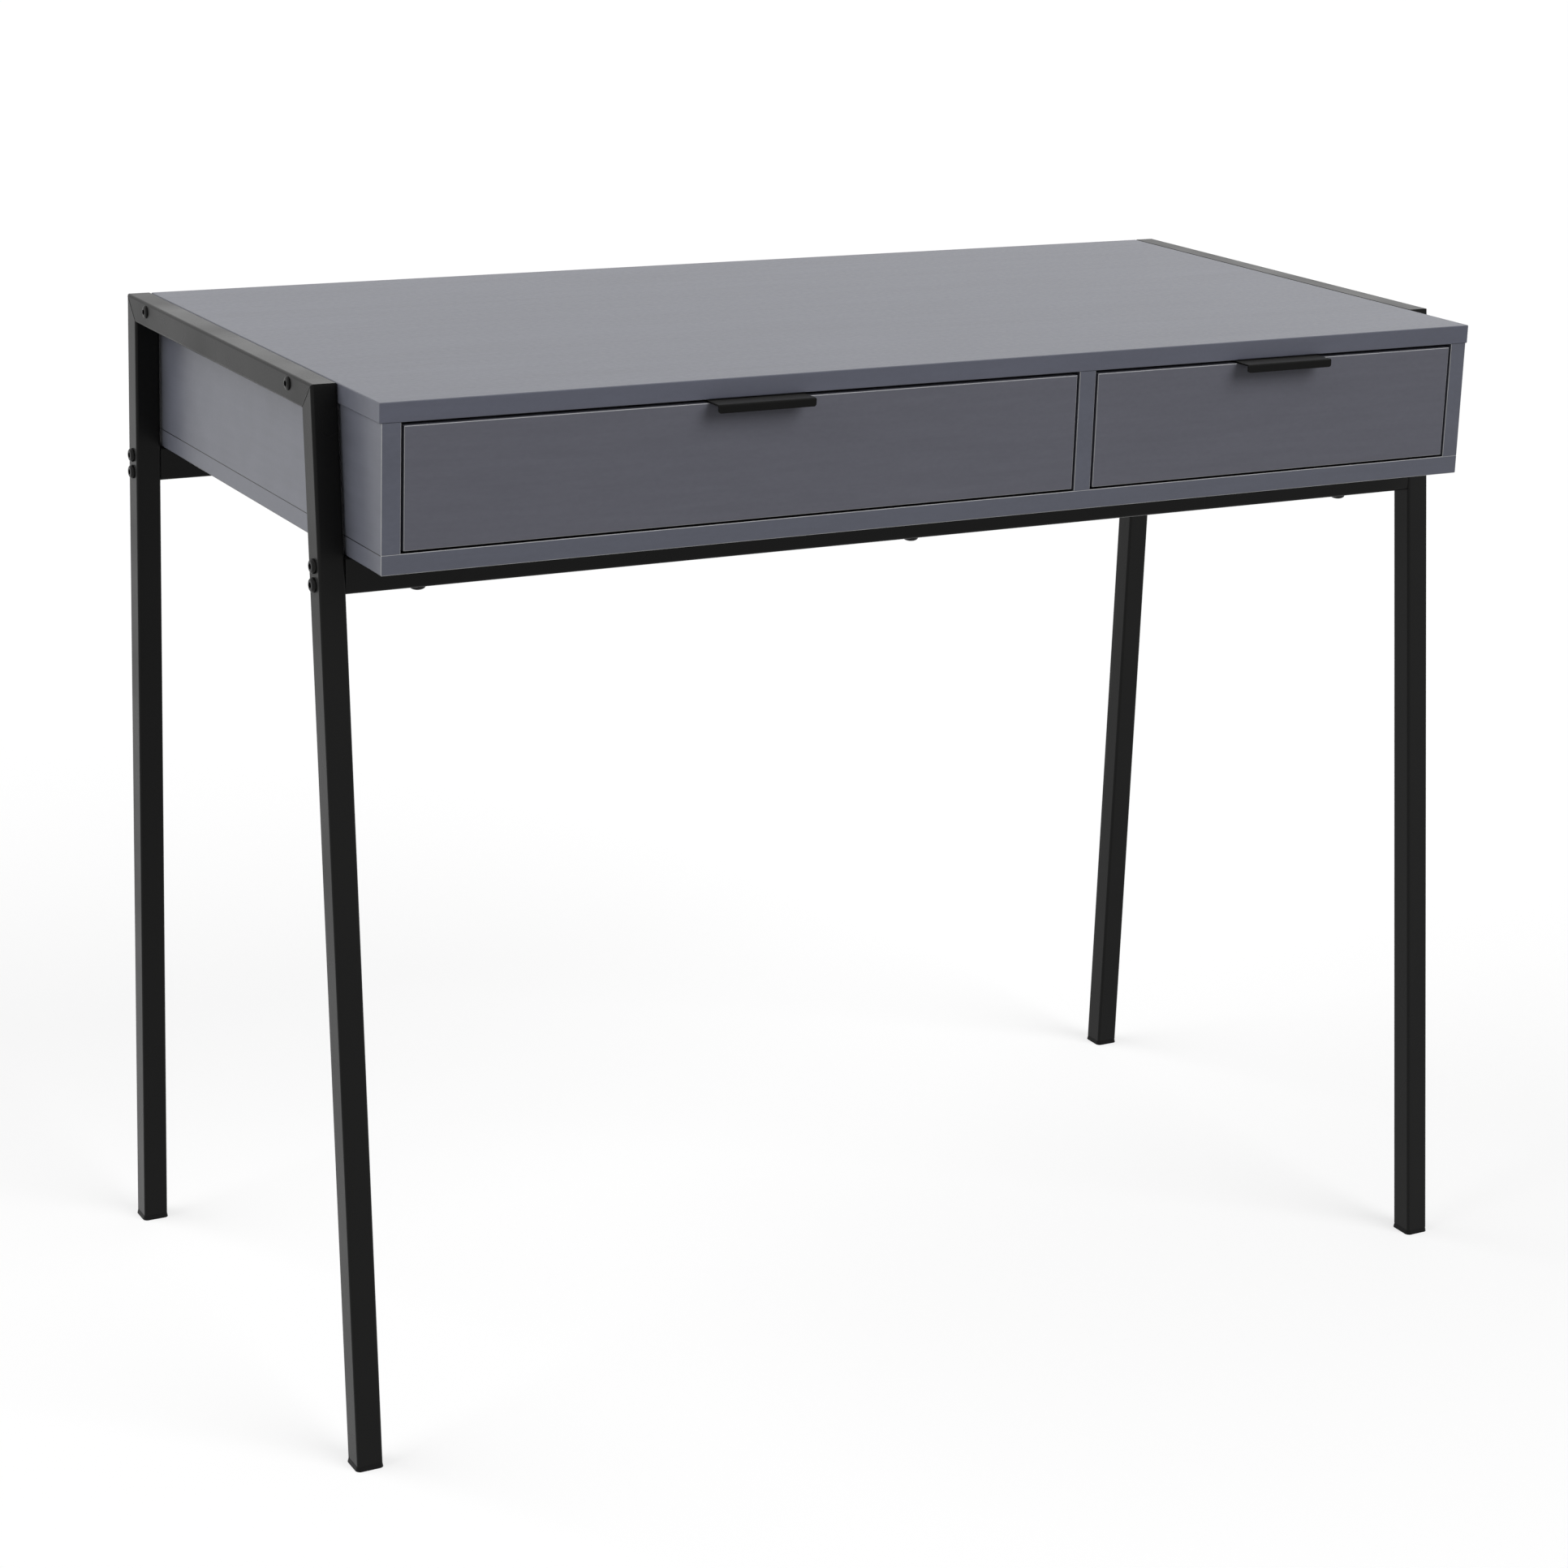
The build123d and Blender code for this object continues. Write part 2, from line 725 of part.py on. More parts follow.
class Drawer:
    """One drawer, between the walls of its bay."""

    def __init__(self, name, bay_left, bay_right):
        self.name = name
        self.bay_left = bay_left
        self.bay_right = bay_right
        self.middle = (bay_left + bay_right) / 2
        self.outer_left = bay_left + side_clearance
        self.outer_right = bay_right - side_clearance
        self.inner_left = self.outer_left + drawer_side
        self.inner_right = self.outer_right - drawer_side
        self.side_middles = (self.outer_left + drawer_side / 2, self.outer_right - drawer_side / 2)
        self.pull_screws = [
            (self.middle + step, pull_screw_z) for step in mirrored_points(pull_screw_spread / 2)
        ]

    def write(self):
        """Write every piece of the drawer except its tracks and rollers."""
        save(self.front(), f"{self.name}_front")
        save(self.side(self.outer_left, self.inner_left, -1), f"{self.name}_left_side")
        save(self.side(self.inner_right, self.outer_right, 1), f"{self.name}_right_side")
        save(self.back(), f"{self.name}_back")
        save(self.bottom(), f"{self.name}_bottom")
        save(self.pull(), f"{self.name}_pull")
        save(self.pull_screw_group(), f"{self.name}_pull_screws")
        save(self.corner_dowels(), f"{self.name}_corner_dowels")
        save(self.corner_screws(), f"{self.name}_corner_screws")
        save(self.track_screws(), f"{self.name}_track_screws")

    def front(self):
        """Drawer front: grooved for the bottom, drilled for the dowels and the pull's screws."""
        left = self.bay_left + front_gap_side
        right = self.bay_right - front_gap_side
        dowels = [(x, z) for x in self.side_middles for z in corner_dowel_z]
        inner_face = Plane.XZ.offset(-front_back_face)
        with BuildPart() as front:
            with BuildSketch(Plane.XY.offset(front_bottom)):
                with Locations((self.middle, front_edge + board / 2)):
                    Rectangle(right - left, board)
            extrude(amount=front_top - front_bottom)
            fillet(front.faces().sort_by(Axis.Y)[0].edges(), radius=arris)
            add(
                groove(
                    self.inner_left - groove_depth,
                    self.inner_right + groove_depth,
                    front_back_face - groove_depth,
                    front_back_face,
                ),
                mode=Mode.SUBTRACT,
            )
            extrude(
                discs(inner_face, dowels, corner_dowel_radius + peg_clearance),
                amount=corner_dowel_in_front + peg_clearance,
                mode=Mode.SUBTRACT,
            )
            extrude(
                discs(inner_face, self.pull_screws, pull_screw_radius + peg_clearance),
                amount=pull_screw_bite + peg_clearance,
                mode=Mode.SUBTRACT,
            )
        return front.part

    def side(self, left, right, outward):
        """Drawer side, grooved inside, drilled for its dowels, corner screws and track screws."""
        middle = (left + right) / 2
        inner = left if outward > 0 else right
        groove_end = inner + outward * groove_depth
        front_face = Plane.XZ.offset(-front_back_face)
        with BuildPart() as side_board:
            with BuildSketch(Plane.XY.offset(drawer_bottom)):
                with Locations((middle, front_back_face + drawer_length / 2)):
                    Rectangle(drawer_side, drawer_length)
            extrude(amount=drawer_height)
            fillet(side_board.faces().sort_by(Axis.Z)[-1].edges().filter_by(Axis.Y), radius=arris)
            add(
                groove(min(inner, groove_end), max(inner, groove_end), front_back_face, drawer_rear),
                mode=Mode.SUBTRACT,
            )
            extrude(
                discs(front_face, [(middle, z) for z in corner_dowel_z], corner_dowel_radius + peg_clearance),
                amount=-corner_dowel_in_side - peg_clearance,
                mode=Mode.SUBTRACT,
            )
            extrude(
                discs(
                    Plane.YZ.offset(middle),
                    [(corner_screw_y, z) for z in corner_screw_z],
                    corner_screw_radius + peg_clearance,
                ),
                amount=drawer_side / 2,
                both=True,
                mode=Mode.SUBTRACT,
            )
            extrude(
                discs(
                    Plane.XY.offset(drawer_bottom),
                    [(middle, y) for y in track_screw_y],
                    runner_screw_radius + peg_clearance,
                ),
                amount=track_screw_bite + peg_clearance,
                mode=Mode.SUBTRACT,
            )
        return side_board.part

    def back(self):
        """Drawer back, standing on the bottom panel between the sides."""
        with BuildPart() as back:
            with BuildSketch(Plane.XY.offset(panel_top)):
                with Locations((self.middle, corner_screw_y)):
                    Rectangle(self.inner_right - self.inner_left, drawer_side)
            extrude(amount=drawer_top - panel_top)
            fillet(back.faces().sort_by(Axis.Z)[-1].edges().filter_by(Axis.X), radius=arris)
            for face_x, way in ((self.inner_left, 1), (self.inner_right, -1)):
                extrude(
                    discs(
                        Plane.YZ.offset(face_x),
                        [(corner_screw_y, z) for z in corner_screw_z],
                        corner_screw_radius + peg_clearance,
                    ),
                    amount=way * (corner_screw_bite + peg_clearance),
                    mode=Mode.SUBTRACT,
                )
        return back.part

    def bottom(self):
        """Hardboard bottom, in the grooves of the sides and the front."""
        tongue = groove_depth - panel_end_clearance
        width = self.inner_right - self.inner_left + 2 * tongue
        length = drawer_rear - front_back_face + tongue
        with BuildPart() as bottom:
            with BuildSketch(Plane.XY.offset(panel_bottom)):
                with Locations((self.middle, drawer_rear - length / 2)):
                    Rectangle(width, length)
            extrude(amount=bottom_panel)
        return bottom.part

    def pull(self):
        """Edge pull: a folded strip over the top edge of the front, with a lip for the fingers."""
        pull_top = front_top + pull_sheet
        lip_front = front_edge - pull_reach
        lip_bottom = pull_top - pull_lip
        leaf_back = front_back_face + pull_sheet
        leaf_bottom = pull_top - pull_leg
        section = Plane(origin=(self.middle - pull_length / 2, 0, 0), x_dir=(0, 1, 0), z_dir=(1, 0, 0))
        with BuildPart() as pull:
            with BuildSketch(section) as strip:
                with BuildLine():
                    Polyline(
                        (lip_front, lip_bottom),
                        (lip_front, pull_top),
                        (leaf_back, pull_top),
                        (leaf_back, leaf_bottom),
                        (front_back_face, leaf_bottom),
                        (front_back_face, front_top),
                        (lip_front + pull_sheet, front_top),
                        (lip_front + pull_sheet, lip_bottom),
                        close=True,
                    )
                make_face()
                fillet(strip.vertices().group_by(Axis.Y)[-1], radius=pull_bend)
            extrude(amount=pull_length)
            fillet(pull.edges().filter_by(Axis.Y).group_by(Axis.Y)[0], radius=pull_corner)
            fillet(pull.edges().filter_by(Axis.Y).group_by(Axis.Z)[0], radius=pull_corner)
            extrude(
                discs(Plane.XZ.offset(-front_back_face), self.pull_screws, pull_screw_radius + peg_clearance),
                amount=-pull_sheet,
                mode=Mode.SUBTRACT,
            )
        return pull.part

    def pull_screw_group(self):
        """Two screws that hold the pull from inside the drawer."""
        seat = Plane(
            origin=(0, front_back_face + pull_sheet, 0), x_dir=(-1, 0, 0), z_dir=(0, 1, 0)
        )
        return pan_screws(
            seat,
            [(-x, z) for x, z in self.pull_screws],
            pull_screw_radius,
            pull_sheet + pull_screw_bite,
            pull_screw_head_radius,
            pull_screw_head_height,
        )

    def corner_dowels(self):
        """Dowels between the front and the two sides."""
        points = [(x, z) for x in self.side_middles for z in corner_dowel_z]
        with BuildPart() as dowels:
            extrude(
                discs(Plane.XZ.offset(corner_dowel_in_front - front_back_face), points, corner_dowel_radius),
                amount=-corner_dowel_in_front - corner_dowel_in_side,
            )
        return dowels.part

    def corner_screws(self):
        """Screws through the sides into the ends of the back."""
        with BuildPart() as screws:
            for face_x, outward in ((self.outer_left, -1), (self.outer_right, 1)):
                seat = Plane(origin=(face_x, 0, 0), x_dir=(0, outward, 0), z_dir=(outward, 0, 0))
                add(
                    pan_screws(
                        seat,
                        [(outward * corner_screw_y, z) for z in corner_screw_z],
                        corner_screw_radius,
                        drawer_side + corner_screw_bite,
                        corner_screw_head_radius,
                        corner_screw_head_height,
                    )
                )
        return screws.part

    def track_screws(self):
        """Screws up through the tracks into the drawer sides."""
        seat = Plane(origin=(0, 0, track_bottom), x_dir=(1, 0, 0), z_dir=(0, 0, -1))
        return pan_screws(
            seat,
            [(x, -y) for x in self.side_middles for y in track_screw_y],
            runner_screw_radius,
            sheet + track_screw_bite,
            runner_screw_head_radius,
            track_screw_head_height,
        )


for bay_name, (bay_left, bay_right) in bays.items():
    Drawer(f"{bay_name}_drawer", bay_left, bay_right).write()
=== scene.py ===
"""Writing desk with two drawers on a leaning tube frame: finishes, small hardware and studio.

The boards, the tube frames, the drawers and their roller runners come from the frame as solid
pieces. This script gives each of them its finish, swaps the plain screws for screws with a drive
recess, lays the weld beads of the mitred side frames, and sets up the studio and the camera.
"""

import logging
import math
from dataclasses import dataclass
from enum import Enum

import bmesh
import bpy
from bpy.types import Material, Node, NodeSocket, NodeTree, Object
from mathutils import Matrix, Vector


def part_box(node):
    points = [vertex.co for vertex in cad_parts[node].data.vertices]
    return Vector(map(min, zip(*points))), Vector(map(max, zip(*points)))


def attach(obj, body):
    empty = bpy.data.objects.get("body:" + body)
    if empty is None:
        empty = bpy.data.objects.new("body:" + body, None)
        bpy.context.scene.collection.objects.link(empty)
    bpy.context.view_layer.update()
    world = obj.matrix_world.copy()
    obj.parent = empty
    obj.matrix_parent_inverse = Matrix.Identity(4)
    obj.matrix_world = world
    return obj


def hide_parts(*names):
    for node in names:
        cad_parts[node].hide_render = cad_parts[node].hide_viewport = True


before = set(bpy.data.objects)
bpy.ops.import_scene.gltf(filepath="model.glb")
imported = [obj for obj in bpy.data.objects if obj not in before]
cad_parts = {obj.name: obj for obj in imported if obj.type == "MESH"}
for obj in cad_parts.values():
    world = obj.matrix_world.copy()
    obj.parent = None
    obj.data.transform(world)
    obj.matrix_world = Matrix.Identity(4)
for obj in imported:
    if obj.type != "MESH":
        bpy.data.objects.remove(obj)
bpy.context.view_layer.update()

log = logging.getLogger("writing_desk")

Mesh = bmesh.types.BMesh
Colour = tuple[float, float, float]
Stretch = tuple[float, float, float]  # how much longer something is along X, Y and Z
Span = tuple[float, float]

MM = 0.001
SAME_POINT = 0.001 * MM  # corners nearer to each other than this are one
SAME_LEVEL = 0.01 * MM  # corners that differ by less than this lie level
PLACE_DECIMALS = 5  # of a metre, when places are put in order
SHARP_ANGLE = 32.0  # degrees between faces, past which their edge is sharp
WHITE: Colour = (1.0, 1.0, 1.0)


# ---------------------------------------------------------------- names
class Side(Enum):
    """Which side of the desk a frame, a bay or a drawer is on."""

    LEFT = "left"
    RIGHT = "right"

    @property
    def way(self) -> int:
        """Sign of X on this side."""
        return -1 if self is Side.LEFT else 1


class End(Enum):
    """Which end of a side frame a corner is at."""

    FRONT = "front"
    REAR = "rear"


class Recess(Enum):
    """Drive recess in a screw head."""

    HEX_SOCKET = "hex socket"
    CROSS = "cross"


# ---------------------------------------------------------------- node trees
class ShaderNodes:
    """Short ways to add nodes to a shader's tree."""

    def __init__(self, tree: NodeTree) -> None:
        """Take the tree that gets the nodes.

        Args:
            tree: Node tree of a material or a world.
        """
        self.tree = tree

    def node(self, kind: str, inputs: dict[int | str, object], **settings: object) -> Node:
        """Add one node.

        Args:
            kind: Blender's type name of the node.
            inputs: Input name or number, with a constant or the socket that feeds it.
            settings: Properties of the node, such as its operation.

        Returns:
            The new node.
        """
        made = self.tree.nodes.new(kind)
        for key, value in settings.items():
            setattr(made, key, value)
        for key, value in inputs.items():
            if isinstance(value, NodeSocket):
                self.tree.links.new(value, made.inputs[key])
            else:
                made.inputs[key].default_value = value
        return made

    def math(self, operation: str, *values: object) -> NodeSocket:
        """Add a math node on constants or sockets and return its result."""
        return self.node("ShaderNodeMath", dict(enumerate(values)), operation=operation).outputs[0]

    def remap(self, value: NodeSocket, start: float, end: float, low: float, high: float) -> NodeSocket:
        """Map start..end to low..high, clamped at both ends."""
        steps = {"Value": value, "From Min": start, "From Max": end, "To Min": low, "To Max": high}
        return self.node("ShaderNodeMapRange", steps).outputs[0]

    def mix(self, share: object, first: object, second: object, blend: str = "MIX") -> NodeSocket:
        """Mix two colours.

        Args:
            share: Share of the second colour, as a number or a socket.
            first: A colour or a socket.
            second: A colour or a socket.
            blend: Blender's name for the way of mixing.

        Returns:
            The mixed colour.
        """
        inputs = {0: share}
        for index, colour in ((6, first), (7, second)):
            inputs[index] = (*colour, 1.0) if isinstance(colour, tuple) else colour
        return self.node("ShaderNodeMix", inputs, data_type="RGBA", blend_type=blend).outputs[2]

    def seen(self) -> NodeSocket:
        """Tell what the camera sees, directly or in gloss and glass, from what lights the desk.

        Returns:
            A mask that is 1 on what is seen.
        """
        path = self.node("ShaderNodeLightPath", {}).outputs
        direct_or_gloss = self.math("MAXIMUM", path["Is Camera Ray"], path["Is Glossy Ray"])
        return self.math("MAXIMUM", direct_or_gloss, path["Is Transmission Ray"])


class FinishNodes(ShaderNodes):
    """Node tree of one finish, built round a principled shader."""

    noise_range: Span = (0.3, 0.7)  # where most of a noise lies

    def __init__(self, name: str) -> None:
        """Start an empty finish.

        Args:
            name: Name of the new material.
        """
        self.material = bpy.data.materials.new(name)
        self.material.use_nodes = True
        super().__init__(self.material.node_tree)
        self.shader = self.tree.nodes["Principled BSDF"]
        coordinates = self.tree.nodes.new("ShaderNodeTexCoord").outputs
        self.place = coordinates["Object"]
        self.normal = coordinates["Normal"]

    def noise(self, size: float, detail: float = 2.0, stretch: Stretch = (1.0, 1.0, 1.0)) -> NodeSocket:
        """Cloudy noise fixed to the piece.

        Args:
            size: Width of one cloud, in metres.
            detail: Octaves of finer noise.
            stretch: How much longer the clouds are along each axis.

        Returns:
            The noise, mostly within noise_range.
        """
        scale = Vector([1 / (size * axis) for axis in stretch])
        mapping = self.node("ShaderNodeMapping", {"Vector": self.place, "Scale": scale})
        inputs = {"Vector": mapping.outputs[0], "Scale": 1.0, "Detail": detail}
        return self.node("ShaderNodeTexNoise", inputs).outputs["Fac"]

    def spread(self, noise: NodeSocket, low: float, high: float) -> NodeSocket:
        """Spread the useful part of a noise over a range."""
        return self.remap(noise, *self.noise_range, low, high)

    def around(self, noise: NodeSocket, middle: float, swing: float) -> NodeSocket:
        """Let a value swing up and down round its middle with a noise."""
        return self.spread(noise, middle - swing, middle + swing)

    def vary(self, colour: Colour, contrast: float, noise: NodeSocket) -> NodeSocket:
        """Let a colour run a little darker and lighter with a noise.

        Args:
            colour: The colour in the middle.
            contrast: How much darker and lighter it gets, as a share of it.
            noise: The noise that it follows.

        Returns:
            The uneven colour.
        """
        darker = tuple(channel * (1 - contrast) for channel in colour)
        lighter = tuple(channel * (1 + contrast) for channel in colour)
        return self.mix(self.spread(noise, 0.0, 1.0), darker, lighter)

    def parts(self, vector: NodeSocket) -> list[NodeSocket]:
        """Split a vector into its X, Y and Z."""
        return list(self.node("ShaderNodeSeparateXYZ", {0: vector}).outputs)

    def facing(self, axis: int, reach: Span) -> NodeSocket:
        """Mask of what faces along an axis.

        Args:
            axis: 0, 1 or 2 for X, Y or Z.
            reach: That part of the surface's direction where the mask is still 0 and where it is 1.

        Returns:
            1 on what faces that way, and 0 elsewhere.
        """
        return self.remap(self.parts(self.normal)[axis], *reach, 0.0, 1.0)

    def arris(self, reach: Span) -> NodeSocket:
        """Mask of the rounded edges of a board that lies square to the axes.

        Args:
            reach: Largest part of the surface's direction where the mask is full and where it ends.

        Returns:
            1 on the rounded edges and 0 on the flat faces.
        """
        upright = self.node("ShaderNodeVectorMath", {0: self.normal}, operation="ABSOLUTE")
        x, y, z = self.parts(upright.outputs[0])
        largest = self.math("MAXIMUM", self.math("MAXIMUM", x, y), z)
        return self.remap(largest, *reach, 1.0, 0.0)

    def relief(self, *layers: tuple[NodeSocket, float]) -> None:
        """Raise the surface by layers of height.

        Args:
            layers: Pairs of a height socket and its depth, in metres.
        """
        normal = None
        for height, depth in layers:
            inputs = {"Height": height, "Distance": depth, "Strength": 1.0}
            if normal is not None:
                inputs["Normal"] = normal
            normal = self.node("ShaderNodeBump", inputs).outputs[0]
        self.tree.links.new(normal, self.shader.inputs["Normal"])

    def finish(self, **values: object) -> Material:
        """Feed the principled shader.

        Args:
            values: Shader inputs, with spaces in their names written as underscores.

        Returns:
            The finished material.
        """
        for key, value in values.items():
            socket = self.shader.inputs[key.replace("_", " ")]
            if isinstance(value, NodeSocket):
                self.tree.links.new(value, socket)
            else:
                socket.default_value = (*value, 1.0) if isinstance(value, tuple) else value
        return self.material


# ---------------------------------------------------------------- finishes
@dataclass(frozen=True)
class Finish:
    """A finish of the desk, made once and shared by the pieces that have it."""

    name: str

    def material(self) -> Material:
        """Return the material, made when it is first asked for."""
        return bpy.data.materials.get(self.name) or self.make()

    def make(self) -> Material:
        """Build the node tree of the finish."""
        raise NotImplementedError


@dataclass(frozen=True)
class Melamine(Finish):
    """Matte melamine faced board, with painted highlights on its front arrises and painted shade on the
    other arrises.
    """

    colour: Colour = (0.110, 0.115, 0.140)
    # painted highlight on the front arrises, where light catches them
    highlight_colour: Colour = (0.46, 0.465, 0.47)
    highlight_reach: Span = (0.80, 0.95)  # surface direction where the painted highlight is full and gone
    # painted shade on the other arrises, dark as the shadow in the creases where boards meet
    edge_shade_colour: Colour = (0.055, 0.058, 0.068)
    edge_shade_reach: Span = (0.80, 0.95)  # surface direction where the painted shade is full and gone
    front_reach: Span = (-0.2, -0.35)  # surface direction where the front faces begin and are full
    front_shade: Colour = WHITE  # painted shade on the front-facing faces, such as the front edge band, as a share of the faces' tone
    upper_shade_colour: Colour | None = None  # painted shade on the upper face, where it lies inside the case in the shadow of the drawers
    upper_shade_reach: Span = (0.88, 0.96)  # surface direction where the painted shade begins and is full
    roughness: float = 0.46
    roughness_swing: float = 0.03
    specular: float = 0.2
    cloud_size: float = 0.15
    cloud_contrast: float = 0.025
    cloud_stretch: Stretch = (3.0, 1.0, 1.0)
    speck_size: float = 0.0022
    speck_contrast: float = 0.03
    speck_stretch: Stretch = (2.0, 1.0, 1.0)
    streak_size: float = 0.005
    streak_contrast: float = 0.035
    streak_stretch: Stretch = (14.0, 1.0, 1.0)
    pearl_size: float = 0.0009
    pearl_depth: float = 0.000012

    def make(self) -> Material:
        """Print paper with faint clouds, specks and streaks, under a fine pearl texture.

        Returns:
            The material.
        """
        nodes = FinishNodes(self.name)
        cloud = nodes.noise(self.cloud_size, detail=4.0, stretch=self.cloud_stretch)
        speck = nodes.noise(self.speck_size, detail=3.0, stretch=self.speck_stretch)
        streak = nodes.noise(self.streak_size, detail=4.0, stretch=self.streak_stretch)
        paper = nodes.vary(self.colour, self.cloud_contrast, cloud)
        specks = nodes.vary(WHITE, self.speck_contrast, speck)
        streaks = nodes.vary(WHITE, self.streak_contrast, streak)
        front = nodes.facing(1, self.front_reach)
        printed = nodes.mix(1.0, nodes.mix(1.0, paper, specks, "MULTIPLY"), streaks, "MULTIPLY")
        # painted shade on the front-facing faces
        front_shaded = nodes.mix(1.0, printed, nodes.mix(front, WHITE, self.front_shade), "MULTIPLY")
        # painted highlight on the front arrises
        highlighted = nodes.mix(nodes.arris(self.highlight_reach), front_shaded, self.highlight_colour)
        # painted shade on the other arrises
        edge_shaded = nodes.mix(nodes.arris(self.edge_shade_reach), front_shaded, self.edge_shade_colour)
        faces = nodes.mix(front, edge_shaded, highlighted)
        # painted shade on the upper face inside the case
        if self.upper_shade_colour:
            faces = nodes.mix(nodes.facing(2, self.upper_shade_reach), faces, self.upper_shade_colour)
        nodes.relief((nodes.noise(self.pearl_size), self.pearl_depth))
        return nodes.finish(
            Base_Color=faces,
            Roughness=nodes.around(speck, self.roughness, self.roughness_swing),
            Specular_IOR_Level=self.specular,
        )


@dataclass(frozen=True)
class PowderCoat(Finish):
    """Baked powder coat on steel, with a faint orange peel."""

    colour: Colour = (0.0052, 0.0052, 0.0050)
    roughness: float = 0.30
    roughness_swing: float = 0.08
    specular: float = 0.118
    sheen: float = 0.0
    sheen_roughness: float = 0.35
    cloud_size: float = 0.09
    cloud_contrast: float = 0.12
    peel_size: float = 0.0022
    peel_depth: float = 0.00003
    grain_size: float = 0.0005
    grain_depth: float = 0.000006

    def make(self) -> Material:
        """Melt powder to an almost even colour, with a slightly uneven gloss and relief.

        Returns:
            The material.
        """
        nodes = FinishNodes(self.name)
        cloud = nodes.noise(self.cloud_size, detail=3.0)
        peel = nodes.noise(self.peel_size)
        grain = nodes.noise(self.grain_size)
        nodes.relief((peel, self.peel_depth), (grain, self.grain_depth))
        return nodes.finish(
            Base_Color=nodes.vary(self.colour, self.cloud_contrast, cloud),
            Roughness=nodes.around(cloud, self.roughness, self.roughness_swing),
            Specular_IOR_Level=self.specular,
            Sheen_Weight=self.sheen,
            Sheen_Roughness=self.sheen_roughness,
        )


@dataclass(frozen=True)
class PlatedSteel(Finish):
    """Turned or pressed steel with a thin plating, brightest where it was handled least."""

    colour: Colour = (0.55, 0.56, 0.58)
    dull_colour: Colour = (0.38, 0.39, 0.42)
    roughness: float = 0.32
    dull_rise: float = 0.08  # of the roughness, where the plating is dull
    bright_drop: float = 0.06  # of the roughness, where it is bright
    metal: float = 1.0
    specular: float = 0.5
    blotch_size: float = 0.004
    scratch_size: float = 0.0006
    scratch_depth: float = 0.000008
    scratch_stretch: Stretch = (1.0, 6.0, 1.0)

    def make(self) -> Material:
        """Lay blotchy plating over fine tool marks.

        Returns:
            The material.
        """
        nodes = FinishNodes(self.name)
        blotch = nodes.noise(self.blotch_size, detail=4.0)
        marks = nodes.noise(self.scratch_size, detail=3.0, stretch=self.scratch_stretch)
        nodes.relief((marks, self.scratch_depth))
        dull = self.roughness + self.dull_rise
        bright = self.roughness - self.bright_drop
        return nodes.finish(
            Base_Color=nodes.mix(nodes.spread(blotch, 0.0, 1.0), self.dull_colour, self.colour),
            Roughness=nodes.spread(blotch, dull, bright),
            Metallic=self.metal,
            Specular_IOR_Level=self.specular,
        )


@dataclass(frozen=True)
class MouldedPlastic(Finish):
    """Injection moulded plastic with a spark eroded skin."""

    colour: Colour = (0.012, 0.012, 0.012)
    flow_size: float = 0.01
    flow_contrast: float = 0.05
    roughness: float = 0.55
    roughness_swing: float = 0.05
    specular: float = 0.4
    glow: float = 0.0
    glow_depth: float = 0.0015
    skin_size: float = 0.0004
    skin_depth: float = 0.00001

    def make(self) -> Material:
        """Mould an even colour with a fine dull skin, and light inside where the plastic is pale.

        Returns:
            The material.
        """
        nodes = FinishNodes(self.name)
        skin = nodes.noise(self.skin_size)
        flow = nodes.noise(self.flow_size)
        nodes.relief((skin, self.skin_depth))
        return nodes.finish(
            Base_Color=nodes.vary(self.colour, self.flow_contrast, flow),
            Roughness=nodes.around(skin, self.roughness, self.roughness_swing),
            Specular_IOR_Level=self.specular,
            Subsurface_Weight=self.glow,
            Subsurface_Scale=self.glow_depth,
        )


@dataclass(frozen=True)
class Hardboard(Finish):
    """Hardboard painted on its upper face, with the wet side's screen marks underneath."""

    paint: Colour = (0.118, 0.125, 0.148)
    paint_contrast: float = 0.04
    paint_reach: Span = (0.5, 0.9)  # surface direction where the paint begins and is full
    fibre: Colour = (0.140, 0.075, 0.038)
    fibre_contrast: float = 0.3
    fibre_size: float = 0.0012
    fibre_depth: float = 0.00002
    fibre_stretch: Stretch = (3.0, 1.0, 1.0)
    roughness: float = 0.55
    specular: float = 0.3
    screen_pitch: float = 0.0016
    screen_depth: float = 0.00012

    def make(self) -> Material:
        """Paint the upper face, and press a woven screen into brown fibres below.

        Returns:
            The material.
        """
        nodes = FinishNodes(self.name)
        fibres = nodes.noise(self.fibre_size, detail=5.0, stretch=self.fibre_stretch)
        painted = nodes.facing(2, self.paint_reach)
        turns = 2 * math.pi / self.screen_pitch
        along, across, _ = nodes.parts(nodes.place)
        threads = [nodes.math("SINE", nodes.math("MULTIPLY", way, turns)) for way in (along, across)]
        bare = nodes.math("SUBTRACT", 1.0, painted)
        weave = nodes.math("MULTIPLY", nodes.math("MULTIPLY", *threads), bare)
        nodes.relief((weave, self.screen_depth), (fibres, self.fibre_depth))
        below = nodes.vary(self.fibre, self.fibre_contrast, fibres)
        above = nodes.vary(self.paint, self.paint_contrast, fibres)
        return nodes.finish(
            Base_Color=nodes.mix(painted, below, above),
            Roughness=self.roughness,
            Specular_IOR_Level=self.specular,
        )


